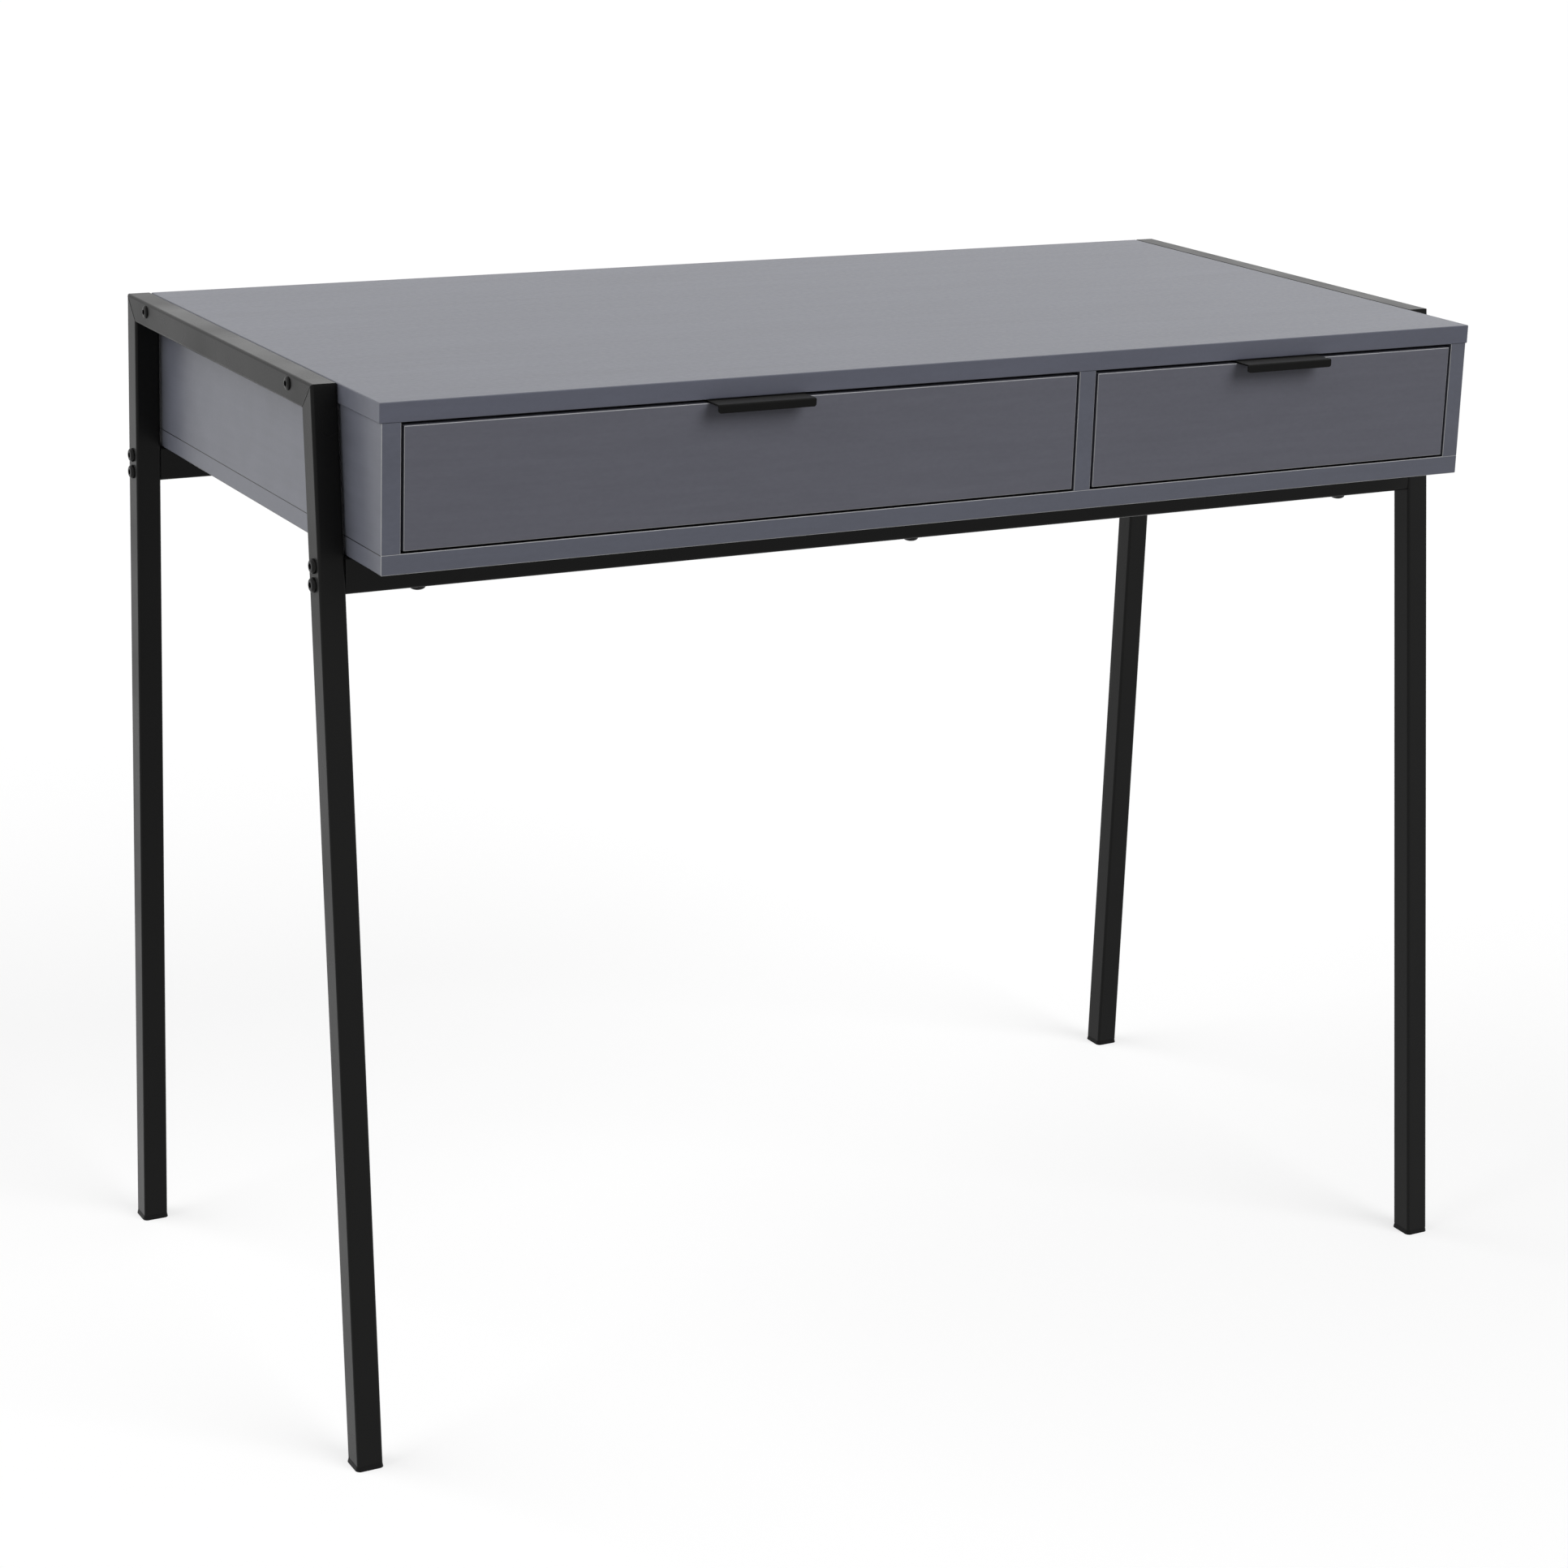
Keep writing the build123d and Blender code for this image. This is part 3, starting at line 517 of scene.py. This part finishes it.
@dataclass(frozen=True)
class Beech(Finish):
    """Plain beech, with short grain flecks along the dowel."""

    colour: Colour = (0.46, 0.28, 0.145)
    fleck: Colour = (0.30, 0.165, 0.08)
    fleck_reach: Span = (0.5, 0.68)  # of the noise, where a fleck begins and is full
    fleck_strength: float = 0.8
    fleck_size: float = 0.0006
    fleck_depth: float = 0.00003
    fleck_stretch: Stretch = (1.0, 1.0, 9.0)
    roughness: Span = (0.55, 0.7)

    def make(self) -> Material:
        """Strew dark flecks over pale wood.

        Returns:
            The material.
        """
        nodes = FinishNodes(self.name)
        grain = nodes.noise(self.fleck_size, detail=3.0, stretch=self.fleck_stretch)
        nodes.relief((grain, self.fleck_depth))
        flecks = nodes.remap(grain, *self.fleck_reach, 0.0, self.fleck_strength)
        return nodes.finish(
            Base_Color=nodes.mix(flecks, self.colour, self.fleck),
            Roughness=nodes.spread(grain, *self.roughness),
        )


# painted shade for the front-facing faces of the case boards, as a share of their tone
FRONT_EDGE_SHADE = (0.72, 0.735, 0.80)
FRONT_BOARD = Melamine("matte grey front melamine", colour=(0.1120, 0.1135, 0.1365))
BACK_BOARD = Melamine("grey back melamine", roughness=0.40, specular=0.31)
BASE_BOARD = Melamine(
    "smooth grey base melamine",
    # near black painted shade on the other arrises and on the upper face inside the case
    edge_shade_colour=(0.004, 0.004, 0.005),
    edge_shade_reach=(0.97, 0.998),
    # painted shade on the front-facing faces
    front_shade=FRONT_EDGE_SHADE,
    upper_shade_colour=(0.006, 0.006, 0.007),
    roughness=0.32,
    specular=0.46,
)
SIDE_BOARD = Melamine(
    "smooth grey side melamine",
    # painted shade on the front-facing faces
    front_shade=FRONT_EDGE_SHADE,
    roughness=0.32,
    specular=0.46,
    cloud_size=0.03,
    cloud_contrast=0.06,
    streak_stretch=(1.0, 14.0, 1.0),
)
DESKTOP_BOARD = Melamine(
    "smooth grey desktop melamine",
    # faint painted highlight on the front arrises, painted shade on the other arrises and on the
    # front-facing faces
    highlight_colour=(0.120, 0.126, 0.150),
    edge_shade_colour=(0.088, 0.092, 0.110),
    front_shade=(0.78, 0.79, 0.86),
    roughness=0.38,
    specular=0.385,
    cloud_size=0.05,
    cloud_contrast=0.03,
    streak_size=0.011,
    streak_contrast=0.05,
)
# painted highlight on the front arrises
DRAWER_BOARD = Melamine("grey drawer board", highlight_colour=(0.19, 0.195, 0.215), roughness=0.5)
HARDBOARD = Hardboard("painted hardboard")
BEECH = Beech("beech dowel")
FRAME_COAT = PowderCoat("black frame coat")
LEG_COAT = PowderCoat("black leg coat", sheen=0.25)
PULL_COAT = PowderCoat(
    "black pull coat", roughness=0.36, specular=0.06, sheen=0.12, peel_depth=0.000015
)
RUNNER_COAT = PowderCoat(
    "white runner coat", colour=(0.62, 0.62, 0.60), roughness=0.34, specular=0.5, cloud_contrast=0.02
)
BLACK_OXIDE = PlatedSteel(
    "black oxide",
    colour=(0.006, 0.0057, 0.0053),
    dull_colour=(0.003, 0.003, 0.003),
    roughness=0.28,
    metal=0.0,
    specular=0.16,
)
ZINC = PlatedSteel("bright zinc")
NYLON = MouldedPlastic("white nylon", colour=(0.70, 0.70, 0.66), roughness=0.42, glow=0.3)
FOOT_PLASTIC = MouldedPlastic(
    "black foot plastic", colour=(0.004, 0.004, 0.004), roughness=0.4, specular=0.12
)


# ---------------------------------------------------------------- dressing and meshes
def dress(finish: Finish, *nodes: str) -> None:
    """Give solid pieces of the frame a finish.

    Args:
        finish: The finish that all of them get.
        nodes: Names of the pieces.
    """
    material = finish.material()
    for name in nodes:
        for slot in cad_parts[name].material_slots:
            slot.material = material
        log.info("dressed %s in %s", name, finish.name)


def finish_piece(mesh: Mesh, name: str, finish: Finish, body: str) -> Object:
    """Turn a mesh into a piece of the desk.

    Args:
        mesh: The mesh, in metres and in its place. It is freed.
        name: Name of the new piece.
        finish: Its finish.
        body: The moving body that carries it.

    Returns:
        The new piece.
    """
    bmesh.ops.recalc_face_normals(mesh, faces=mesh.faces)
    data = bpy.data.meshes.new(name)
    mesh.to_mesh(data)
    mesh.free()
    data.shade_smooth()
    data.set_sharp_from_angle(angle=math.radians(SHARP_ANGLE))
    data.materials.append(finish.material())
    piece = bpy.data.objects.new(name, data)
    bpy.context.scene.collection.objects.link(piece)
    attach(piece, body)
    log.info("built %s with %d faces", name, len(data.polygons))
    return piece


def ring_angles(steps: int) -> list[float]:
    """Return equal steps round a circle, in radians."""
    return [2 * math.pi * step / steps for step in range(steps)]


def lathe(profile: list[tuple[float, float]], steps: int) -> Mesh:
    """Turn a profile round the Z axis.

    Args:
        profile: Radius and height of each point, from the axis to the axis.
        steps: Number of faces round the axis.

    Returns:
        A closed mesh.
    """
    turned = bmesh.new()
    rings = []
    for radius, height in profile:
        if radius == 0:
            rings.append([turned.verts.new((0, 0, height))] * steps)
            continue
        spots = [(radius * math.cos(a), radius * math.sin(a), height) for a in ring_angles(steps)]
        rings.append([turned.verts.new(spot) for spot in spots])
    for upper, lower in zip(rings, rings[1:]):
        for step in range(steps):
            following = (step + 1) % steps
            corners = (upper[step], upper[following], lower[following], lower[step])
            turned.faces.new(tuple(dict.fromkeys(corners)))
    return turned


def prism(outline: list[Vector], bottom: float, top: float, draft: float) -> Mesh:
    """Raise an outline into a closed prism.

    Args:
        outline: Points round the outline, in the XY plane.
        bottom: Height of the lower face.
        top: Height of the upper face.
        draft: Size of the lower face, as a share of the upper one.

    Returns:
        A closed mesh.
    """
    raised = bmesh.new()
    lower = [raised.verts.new((point.x * draft, point.y * draft, bottom)) for point in outline]
    upper = [raised.verts.new((point.x, point.y, top)) for point in outline]
    raised.faces.new(lower)
    raised.faces.new(upper)
    for index, low in enumerate(lower):
        following = (index + 1) % len(lower)
        raised.faces.new((low, lower[following], upper[following], upper[index]))
    return raised


def cut(solid: Mesh, tool: Mesh) -> Mesh:
    """Cut one closed mesh out of another. Both are freed.

    Args:
        solid: The mesh that loses material.
        tool: The mesh that takes it away.

    Returns:
        What is left of the solid.
    """
    pair = []
    for mesh in (solid, tool):
        bmesh.ops.recalc_face_normals(mesh, faces=mesh.faces)
        data = bpy.data.meshes.new("cut")
        mesh.to_mesh(data)
        mesh.free()
        thing = bpy.data.objects.new("cut", data)
        bpy.context.scene.collection.objects.link(thing)
        pair.append(thing)
    boolean = pair[0].modifiers.new("cut", "BOOLEAN")
    boolean.operation = "DIFFERENCE"
    boolean.object = pair[1]
    left = bmesh.new()
    left.from_object(pair[0], bpy.context.evaluated_depsgraph_get())
    for thing in pair:
        data = thing.data
        bpy.data.objects.remove(thing)
        bpy.data.meshes.remove(data)
    return left


def join_copy(whole: Mesh, part: Mesh, place: Matrix) -> None:
    """Add a placed copy of one mesh to another.

    Args:
        whole: The mesh that grows.
        part: The mesh that is copied.
        place: Where the copy goes.
    """
    twins = {vertex: whole.verts.new(place @ vertex.co) for vertex in part.verts}
    for face in part.faces:
        whole.faces.new([twins[vertex] for vertex in face.verts])


# ---------------------------------------------------------------- screws
@dataclass(frozen=True)
class ScrewPlace:
    """One screw as the frame holds it."""

    seat: Vector  # middle of the ring where the head meets the surface
    outward: Vector  # from the tip to the head
    head_radius: float
    head_height: float
    shank_radius: float
    shank_length: float


def read_screws(node: str) -> list[ScrewPlace]:
    """Read the place and size of every screw of a group from its plain solids.

    Args:
        node: Name of the group.

    Returns:
        One entry for each screw.
    """
    mesh = bmesh.new()
    mesh.from_mesh(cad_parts[node].data)
    bmesh.ops.remove_doubles(mesh, verts=mesh.verts, dist=SAME_POINT)
    waiting = set(mesh.verts)
    places = []
    while waiting:
        island = []
        queue = [waiting.pop()]
        while queue:
            vertex = queue.pop()
            island.append(vertex.co.copy())
            for edge in vertex.link_edges:
                other = edge.other_vert(vertex)
                if other in waiting:
                    waiting.remove(other)
                    queue.append(other)
        places.append(measure_screw(island))
    mesh.free()
    return sorted(places, key=lambda place: tuple(round(value, PLACE_DECIMALS) for value in place.seat))


def measure_screw(points: list[Vector], rim_share: float = 0.98) -> ScrewPlace:
    """Measure one plain screw. Its axis runs along its longest side.

    Args:
        points: Corners of its mesh.
        rim_share: Share of the head's radius past which a corner lies on the head's rim.

    Returns:
        Its axis, head and shank.
    """
    low = Vector([min(point[axis] for point in points) for axis in range(3)])
    high = Vector([max(point[axis] for point in points) for axis in range(3)])
    long_axis = max(range(3), key=lambda axis: high[axis] - low[axis])
    middle = (low + high) / 2
    axis = Vector([1.0 if index == long_axis else 0.0 for index in range(3)])

    def reach(point: Vector) -> float:
        """Distance of a corner from the axis."""
        arm = point - middle
        return (arm - axis * arm.dot(axis)).length

    head_radius = max(reach(point) for point in points)
    rim = [point[long_axis] for point in points if reach(point) > rim_share * head_radius]
    sign = 1 if sum(rim) / len(rim) > middle[long_axis] else -1
    seat_level = min(rim) if sign > 0 else max(rim)
    ends = (low[long_axis], high[long_axis])
    tip_level, top_level = ends if sign > 0 else reversed(ends)
    seat = middle.copy()
    seat[long_axis] = seat_level
    tip = [point for point in points if abs(point[long_axis] - tip_level) < SAME_LEVEL]
    return ScrewPlace(
        seat=seat,
        outward=axis * sign,
        head_radius=head_radius,
        head_height=abs(top_level - seat_level),
        shank_radius=max(reach(point) for point in tip),
        shank_length=abs(seat_level - tip_level),
    )


@dataclass(frozen=True)
class ScrewSet:
    """A group of like screws with domed heads, in the places of the frame's plain ones."""

    node: str
    body: str
    slot: str
    finish: Finish
    recess: Recess
    rim_share: float = 0.3  # straight part of the head's height
    recess_depth: float = 0.62  # as a share of the head's height
    cutter_top: float = 1.5  # of what cuts the recess, as a share of the head's height
    socket_reach: float = 0.48  # corner of a hex socket, as a share of the head's radius
    cross_reach: float = 0.576  # end of a cross's arm, as a share of the head's radius
    cross_arm: float = 0.17  # half width of a cross's arm, as a share of the head's radius
    cross_draft: float = 0.7  # size of a cross's floor, as a share of its mouth
    longest_tip: float = 0.25  # as a share of the shank's length
    tip_taper: float = 0.6  # what the shank's radius loses over the tip, as a share of its length
    dome_steps: int = 7
    round_steps: int = 40

    def build(self) -> None:
        """Make the group and let it stand for the plain one."""
        places = read_screws(self.node)
        pattern = self.pattern(places[0])
        group = bmesh.new()
        for place in places:
            turn = Vector((0, 0, 1)).rotation_difference(place.outward).to_matrix().to_4x4()
            join_copy(group, pattern, Matrix.Translation(place.seat) @ turn)
        pattern.free()
        piece = finish_piece(group, f"recessed_{self.node}", self.finish, self.body)
        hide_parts(self.node)

    def pattern(self, size: ScrewPlace) -> Mesh:
        """Model one screw with its seat at the origin and its head upward.

        Args:
            size: The plain screw that it follows.

        Returns:
            A closed mesh with the recess cut into the head.
        """
        rim = size.head_height * self.rim_share
        dome = size.head_height - rim
        profile = [(0.0, size.head_height)]
        for step in range(1, self.dome_steps + 1):
            angle = math.pi / 2 * step / self.dome_steps
            profile.append((size.head_radius * math.sin(angle), rim + dome * math.cos(angle)))
        tip = min(size.shank_radius, size.shank_length * self.longest_tip)
        profile += [
            (size.head_radius, 0.0),
            (size.shank_radius, 0.0),
            (size.shank_radius, tip - size.shank_length),
            (size.shank_radius - tip * self.tip_taper, -size.shank_length),
            (0.0, -size.shank_length),
        ]
        turned = lathe(profile, self.round_steps)
        floor = size.head_height * (1 - self.recess_depth)
        top = size.head_height * self.cutter_top
        if self.recess is Recess.HEX_SOCKET:
            return cut(turned, prism(self.hexagon(size.head_radius), floor, top, draft=1.0))
        return cut(turned, prism(self.cross(size.head_radius), floor, top, self.cross_draft))

    def hexagon(self, head_radius: float) -> list[Vector]:
        """Return the outline of a hex socket."""
        corner = Vector((head_radius * self.socket_reach, 0, 0))
        return [corner @ Matrix.Rotation(angle, 3, "Z") for angle in ring_angles(6)]

    def cross(self, head_radius: float) -> list[Vector]:
        """Draw a cross recess.

        Args:
            head_radius: Radius of the screw's head.

        Returns:
            The points round its outline, a quarter at a time.
        """
        reach = head_radius * self.cross_reach
        arm = head_radius * self.cross_arm
        quarter = [Vector((reach, -arm, 0)), Vector((reach, arm, 0)), Vector((arm, arm, 0))]
        return [Matrix.Rotation(angle, 3, "Z") @ point for angle in ring_angles(4) for point in quarter]


# ---------------------------------------------------------------- sub-assemblies
@dataclass(frozen=True)
class Case:
    """The boards of the case, with the dowels that hold them together."""

    upright_boards: tuple[str, ...] = ("left_side_panel", "right_side_panel", "centre_divider")

    def build(self) -> None:
        """Dress the boards and the dowels."""
        dress(DESKTOP_BOARD, "desktop")
        dress(BASE_BOARD, "base_panel")
        dress(SIDE_BOARD, *self.upright_boards)
        dress(BACK_BOARD, "back_panel")
        dress(BEECH, "panel_dowels")


@dataclass(frozen=True)
class SideFrame:
    """One mitred side frame: top rail, two legs and two feet, with its weld beads."""

    side: Side
    tube_corner: float = 2.0 * MM  # radius of the tube's edges
    seam_width: float = 1.5 * MM
    seam_height: float = 0.22 * MM
    seam_start: float = 2.4 * MM  # from the outer corner
    seam_stop: float = 1.2 * MM  # from the inner corner
    bead_radius: float = 1.5 * MM
    ripple_pitch: float = 2.2 * MM
    ripple: float = 0.12  # as a share of the bead's radius
    ripple_steps: int = 6
    fewest_steps: int = 8
    end_share: float = 0.02  # of the length, where the rounded end is cut off
    end_bluntness: float = 0.25  # the lower, the blunter
    round_steps: int = 10

    def build(self) -> None:
        """Lay the welds and dress the tubes and the feet."""
        beads = bmesh.new()
        for end in End:
            apex, inner = self.mitre(end)
            self.lay_seam(beads, apex, inner)
            self.lay_bead(beads, inner)
        prefix = self.side.value
        finish_piece(beads, f"{prefix}_frame_weld_beads", FRAME_COAT, "desk")
        dress(FRAME_COAT, f"{prefix}_top_rail")
        dress(LEG_COAT, f"{prefix}_front_leg", f"{prefix}_rear_leg")
        dress(FOOT_PLASTIC, f"{prefix}_front_foot", f"{prefix}_rear_foot")

    def mitre(self, end: End) -> tuple[Vector, Vector]:
        """Find the two ends of a corner's mitre on the outer face of the frame.

        Args:
            end: Which corner of the frame.

        Returns:
            The outer corner on top and the inner corner under the rail.
        """
        low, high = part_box(f"{self.side.value}_top_rail")
        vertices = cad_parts[f"{self.side.value}_top_rail"].data.vertices
        under = [vertex.co.y for vertex in vertices if vertex.co.z < low.z + SAME_LEVEL]
        outer_x = high.x if self.side is Side.RIGHT else low.x
        apex_y = low.y if end is End.FRONT else high.y
        inner_y = min(under) if end is End.FRONT else max(under)
        return Vector((outer_x, apex_y, high.z)), Vector((outer_x, inner_y, low.z))

    def lay_seam(self, beads: Mesh, apex: Vector, inner: Vector) -> None:
        """Lay the ground seam along the mitre, on the outer face.

        Args:
            beads: The mesh that gets the seam.
            apex: Outer end of the mitre.
            inner: Inner end of the mitre.
        """
        along = (inner - apex).normalized()
        start = apex + along * self.seam_start
        stop = inner - along * self.seam_stop
        across = along.cross(Vector((1, 0, 0)))
        outward = Vector((self.side.way, 0, 0))
        self.sweep(beads, start, stop, across * self.seam_width / 2, outward * self.seam_height)

    def lay_bead(self, beads: Mesh, inner: Vector) -> None:
        """Lay the round bead in the corner under the rail, across the tube.

        Args:
            beads: The mesh that gets the bead.
            inner: Inner end of the mitre on the outer face.
        """
        low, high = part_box(f"{self.side.value}_top_rail")
        middle = Vector(((low.x + high.x) / 2, inner.y, inner.z))
        arm = Vector(((high.x - low.x) / 2 - self.tube_corner, 0, 0))
        wide = Vector((0, self.bead_radius, 0))
        tall = Vector((0, 0, self.bead_radius))
        self.sweep(beads, middle - arm, middle + arm, wide, tall, self.ripple)

    def sweep(
        self, beads: Mesh, start: Vector, stop: Vector, wide: Vector, tall: Vector, ripple: float = 0.0
    ) -> None:
        """Sweep an oval along a straight line, with rounded ends.

        Args:
            beads: The mesh that gets the sweep.
            start: First end of the line.
            stop: Other end of the line.
            wide: Half axis of the oval along the surface.
            tall: Half axis of the oval off the surface.
            ripple: Depth of the ripples that the welder left, as a share of the oval.
        """
        length = (stop - start).length
        stations = max(self.fewest_steps, round(length / self.ripple_pitch) * self.ripple_steps)
        oval = [wide * math.cos(a) + tall * math.sin(a) for a in ring_angles(self.round_steps)]
        rings = []
        for station in range(stations + 1):
            share = station / stations
            inside = min(max(share, self.end_share), 1 - self.end_share)
            taper = math.sin(math.pi * inside) ** self.end_bluntness
            wave = 1 + ripple * math.sin(2 * math.pi * share * length / self.ripple_pitch)
            centre = start.lerp(stop, share)
            rings.append([beads.verts.new(centre + offset * taper * wave) for offset in oval])
        for ring, following in zip(rings, rings[1:]):
            for step in range(self.round_steps):
                other = (step + 1) % self.round_steps
                beads.faces.new((ring[step], ring[other], following[other], following[step]))
        beads.faces.new(rings[0])
        beads.faces.new(rings[-1])


@dataclass(frozen=True)
class CrossRails:
    """The two rails under the base board, with the bolts and screws of the desk's body."""

    rails: tuple[str, ...] = ("front_cross_rail", "rear_cross_rail", "rail_end_plates")

    def build(self) -> None:
        """Dress the rails and the bolts, and fit the recessed screws."""
        dress(FRAME_COAT, *self.rails)
        dress(BLACK_OXIDE, "frame_bolts")
        ScrewSet("base_screws", "desk", "black_screws", BLACK_OXIDE, Recess.CROSS).build()
        ScrewSet("runner_screws", "desk", "zinc_screws", ZINC, Recess.CROSS).build()
        ScrewSet("top_rail_screws", "desk", "black_screws", BLACK_OXIDE, Recess.HEX_SOCKET).build()


@dataclass(frozen=True)
class Drawer:
    """One drawer: grey boards, hardboard bottom, edge pull and its small screws."""

    side: Side
    screw_groups: tuple[str, ...] = ("pull_screws", "corner_screws", "track_screws")

    def build(self) -> None:
        """Dress the boards and the pull, and fit the recessed screws."""
        name = f"{self.side.value}_drawer"
        dress(FRONT_BOARD, f"{name}_front")
        dress(DRAWER_BOARD, f"{name}_left_side", f"{name}_right_side", f"{name}_back")
        dress(HARDBOARD, f"{name}_bottom")
        dress(PULL_COAT, f"{name}_pull")
        dress(BEECH, f"{name}_corner_dowels")
        for group in self.screw_groups:
            ScrewSet(f"{name}_{group}", name, "zinc_screws", ZINC, Recess.CROSS).build()


@dataclass(frozen=True)
class RollerRunners:
    """The runners of one bay: two channels, two tracks and four rollers."""

    side: Side

    def build(self) -> None:
        """Dress the folded sheet and the rollers."""
        for hand in Side:
            bay = f"{self.side.value}_bay_{hand.value}"
            drawer = f"{self.side.value}_drawer_{hand.value}"
            dress(RUNNER_COAT, f"{bay}_channel", f"{drawer}_track")
            dress(NYLON, f"{bay}_front_roller", f"{drawer}_rear_roller")


# ---------------------------------------------------------------- studio
@dataclass(frozen=True)
class SoftSun:
    """A large soft lamp, far away."""

    name: str
    toward: Vector  # from the desk to the lamp
    level: float  # light on a surface that faces it, where 1 shows a colour as written
    width: float  # in degrees
    gloss: bool = True  # shows in polished surfaces

    def hang(self) -> None:
        """Add the lamp."""
        lamp = bpy.data.lights.new(self.name, "SUN")
        lamp.energy = math.pi * self.level
        lamp.angle = math.radians(self.width)
        hung = bpy.data.objects.new(self.name, lamp)
        hung.rotation_mode = "QUATERNION"
        hung.rotation_quaternion = self.toward.to_track_quat("Z", "Y")
        hung.visible_glossy = self.gloss
        bpy.context.scene.collection.objects.link(hung)
        log.info("hung the %s", self.name)


@dataclass(frozen=True)
class Studio:
    """White floor and background, with soft light from the left and from the front."""

    floor_reach: float = 40.0  # from the middle to each side
    floor_colour: Colour = (0.98, 0.98, 0.98)  # as it is seen
    floor_bounce: Colour = (0.32, 0.32, 0.32)  # as it lights the desk
    floor_glow: float = 0.68  # share of plain white in the floor as it is seen
    sky_level: float = 0.20  # as it lights the desk
    suns: tuple[SoftSun, ...] = (
        SoftSun("left lamp", Vector((-0.86, 0.34, 0.52)), level=0.87, width=70.0, gloss=False),
        SoftSun("right lamp", Vector((0.75, 0.25, 0.60)), level=0.08, width=70.0),
        SoftSun("front lamp", Vector((0.42, -0.80, 0.65)), level=0.67, width=42.0, gloss=False),
    )

    def build(self) -> None:
        """Lay the floor, light the room and hang the lamps."""
        self.lay_floor()
        self.light_room()
        for sun in self.suns:
            sun.hang()
        bpy.context.scene.view_settings.view_transform = "Standard"

    def floor_material(self) -> Material:
        """Paint the floor: nearly white to the eye, darker as it lights the desk.

        Returns:
            The material, which keeps a faint shadow.
        """
        material = bpy.data.materials.new("white floor")
        material.use_nodes = True
        nodes = ShaderNodes(material.node_tree)
        nodes.tree.nodes.remove(nodes.tree.nodes["Principled BSDF"])
        seen = nodes.seen()
        colour = nodes.mix(seen, self.floor_bounce, self.floor_colour)
        matte = nodes.node("ShaderNodeBsdfDiffuse", {"Color": colour}).outputs[0]
        glow = nodes.node("ShaderNodeEmission", {}).outputs[0]
        share = nodes.math("MULTIPLY", seen, self.floor_glow)
        blend = nodes.node("ShaderNodeMixShader", {0: share, 1: matte, 2: glow}).outputs[0]
        nodes.tree.links.new(blend, nodes.tree.nodes["Material Output"].inputs["Surface"])
        return material

    def lay_floor(self) -> None:
        """Lay the floor."""
        reach = self.floor_reach
        corners = [(-reach, -reach, 0), (reach, -reach, 0), (reach, reach, 0), (-reach, reach, 0)]
        data = bpy.data.meshes.new("floor")
        data.from_pydata(corners, [], [(0, 1, 2, 3)])
        data.materials.append(self.floor_material())
        floor = bpy.data.objects.new("floor", data)
        bpy.context.scene.collection.objects.link(floor)
        log.info("laid the floor")

    def light_room(self) -> None:
        """Surround the desk with a low even light that looks white."""
        world = bpy.data.worlds.new("studio")
        bpy.context.scene.world = world
        world.use_nodes = True
        nodes = ShaderNodes(world.node_tree)
        level = nodes.remap(nodes.seen(), 0.0, 1.0, self.sky_level, 1.0)
        background = nodes.tree.nodes["Background"]
        background.inputs["Color"].default_value = (*WHITE, 1.0)
        nodes.tree.links.new(level, background.inputs["Strength"])
        log.info("lit the room")


@dataclass(frozen=True)
class Viewpoint:
    """The camera, standing in front of the desk's left half."""

    place: Vector = Vector((-1.29595, -2.26242, 1.19477))
    azimuth: float = -28.872  # in degrees, to the left of straight on
    elevation: float = 13.970
    roll: float = 1.813
    lens: float = 79.567  # focal length, in millimetres
    shift_x: float = 0.01863  # of the view, as a share of its width
    shift_y: float = -0.13768

    def build(self) -> None:
        """Set up the camera."""
        turn, tilt, roll = (math.radians(angle) for angle in (self.azimuth, self.elevation, self.roll))
        flat = math.cos(tilt)
        back = Vector((math.sin(turn) * flat, -math.cos(turn) * flat, math.sin(tilt)))
        right = (-back).cross(Vector((0, 0, 1))).normalized()
        up = right.cross(-back)
        level = Matrix((right, up, back)).transposed()
        rolled = level @ Matrix.Rotation(roll, 3, "Z")
        data = bpy.data.cameras.new("camera")
        data.lens = self.lens
        data.shift_x = self.shift_x
        data.shift_y = self.shift_y
        camera = bpy.data.objects.new("camera", data)
        camera.matrix_world = Matrix.Translation(self.place) @ rolled.to_4x4()
        bpy.context.scene.collection.objects.link(camera)
        bpy.context.scene.camera = camera
        log.info("set up the camera")


def main() -> None:
    """Build and dress the sub-assemblies in order, then the studio and the camera."""
    logging.basicConfig(level=logging.INFO, format="%(message)s")
    Case().build()
    for side in Side:
        SideFrame(side).build()
    CrossRails().build()
    for side in Side:
        Drawer(side).build()
        RollerRunners(side).build()
    Studio().build()
    Viewpoint().build()


if __name__ == "__main__":
    main()
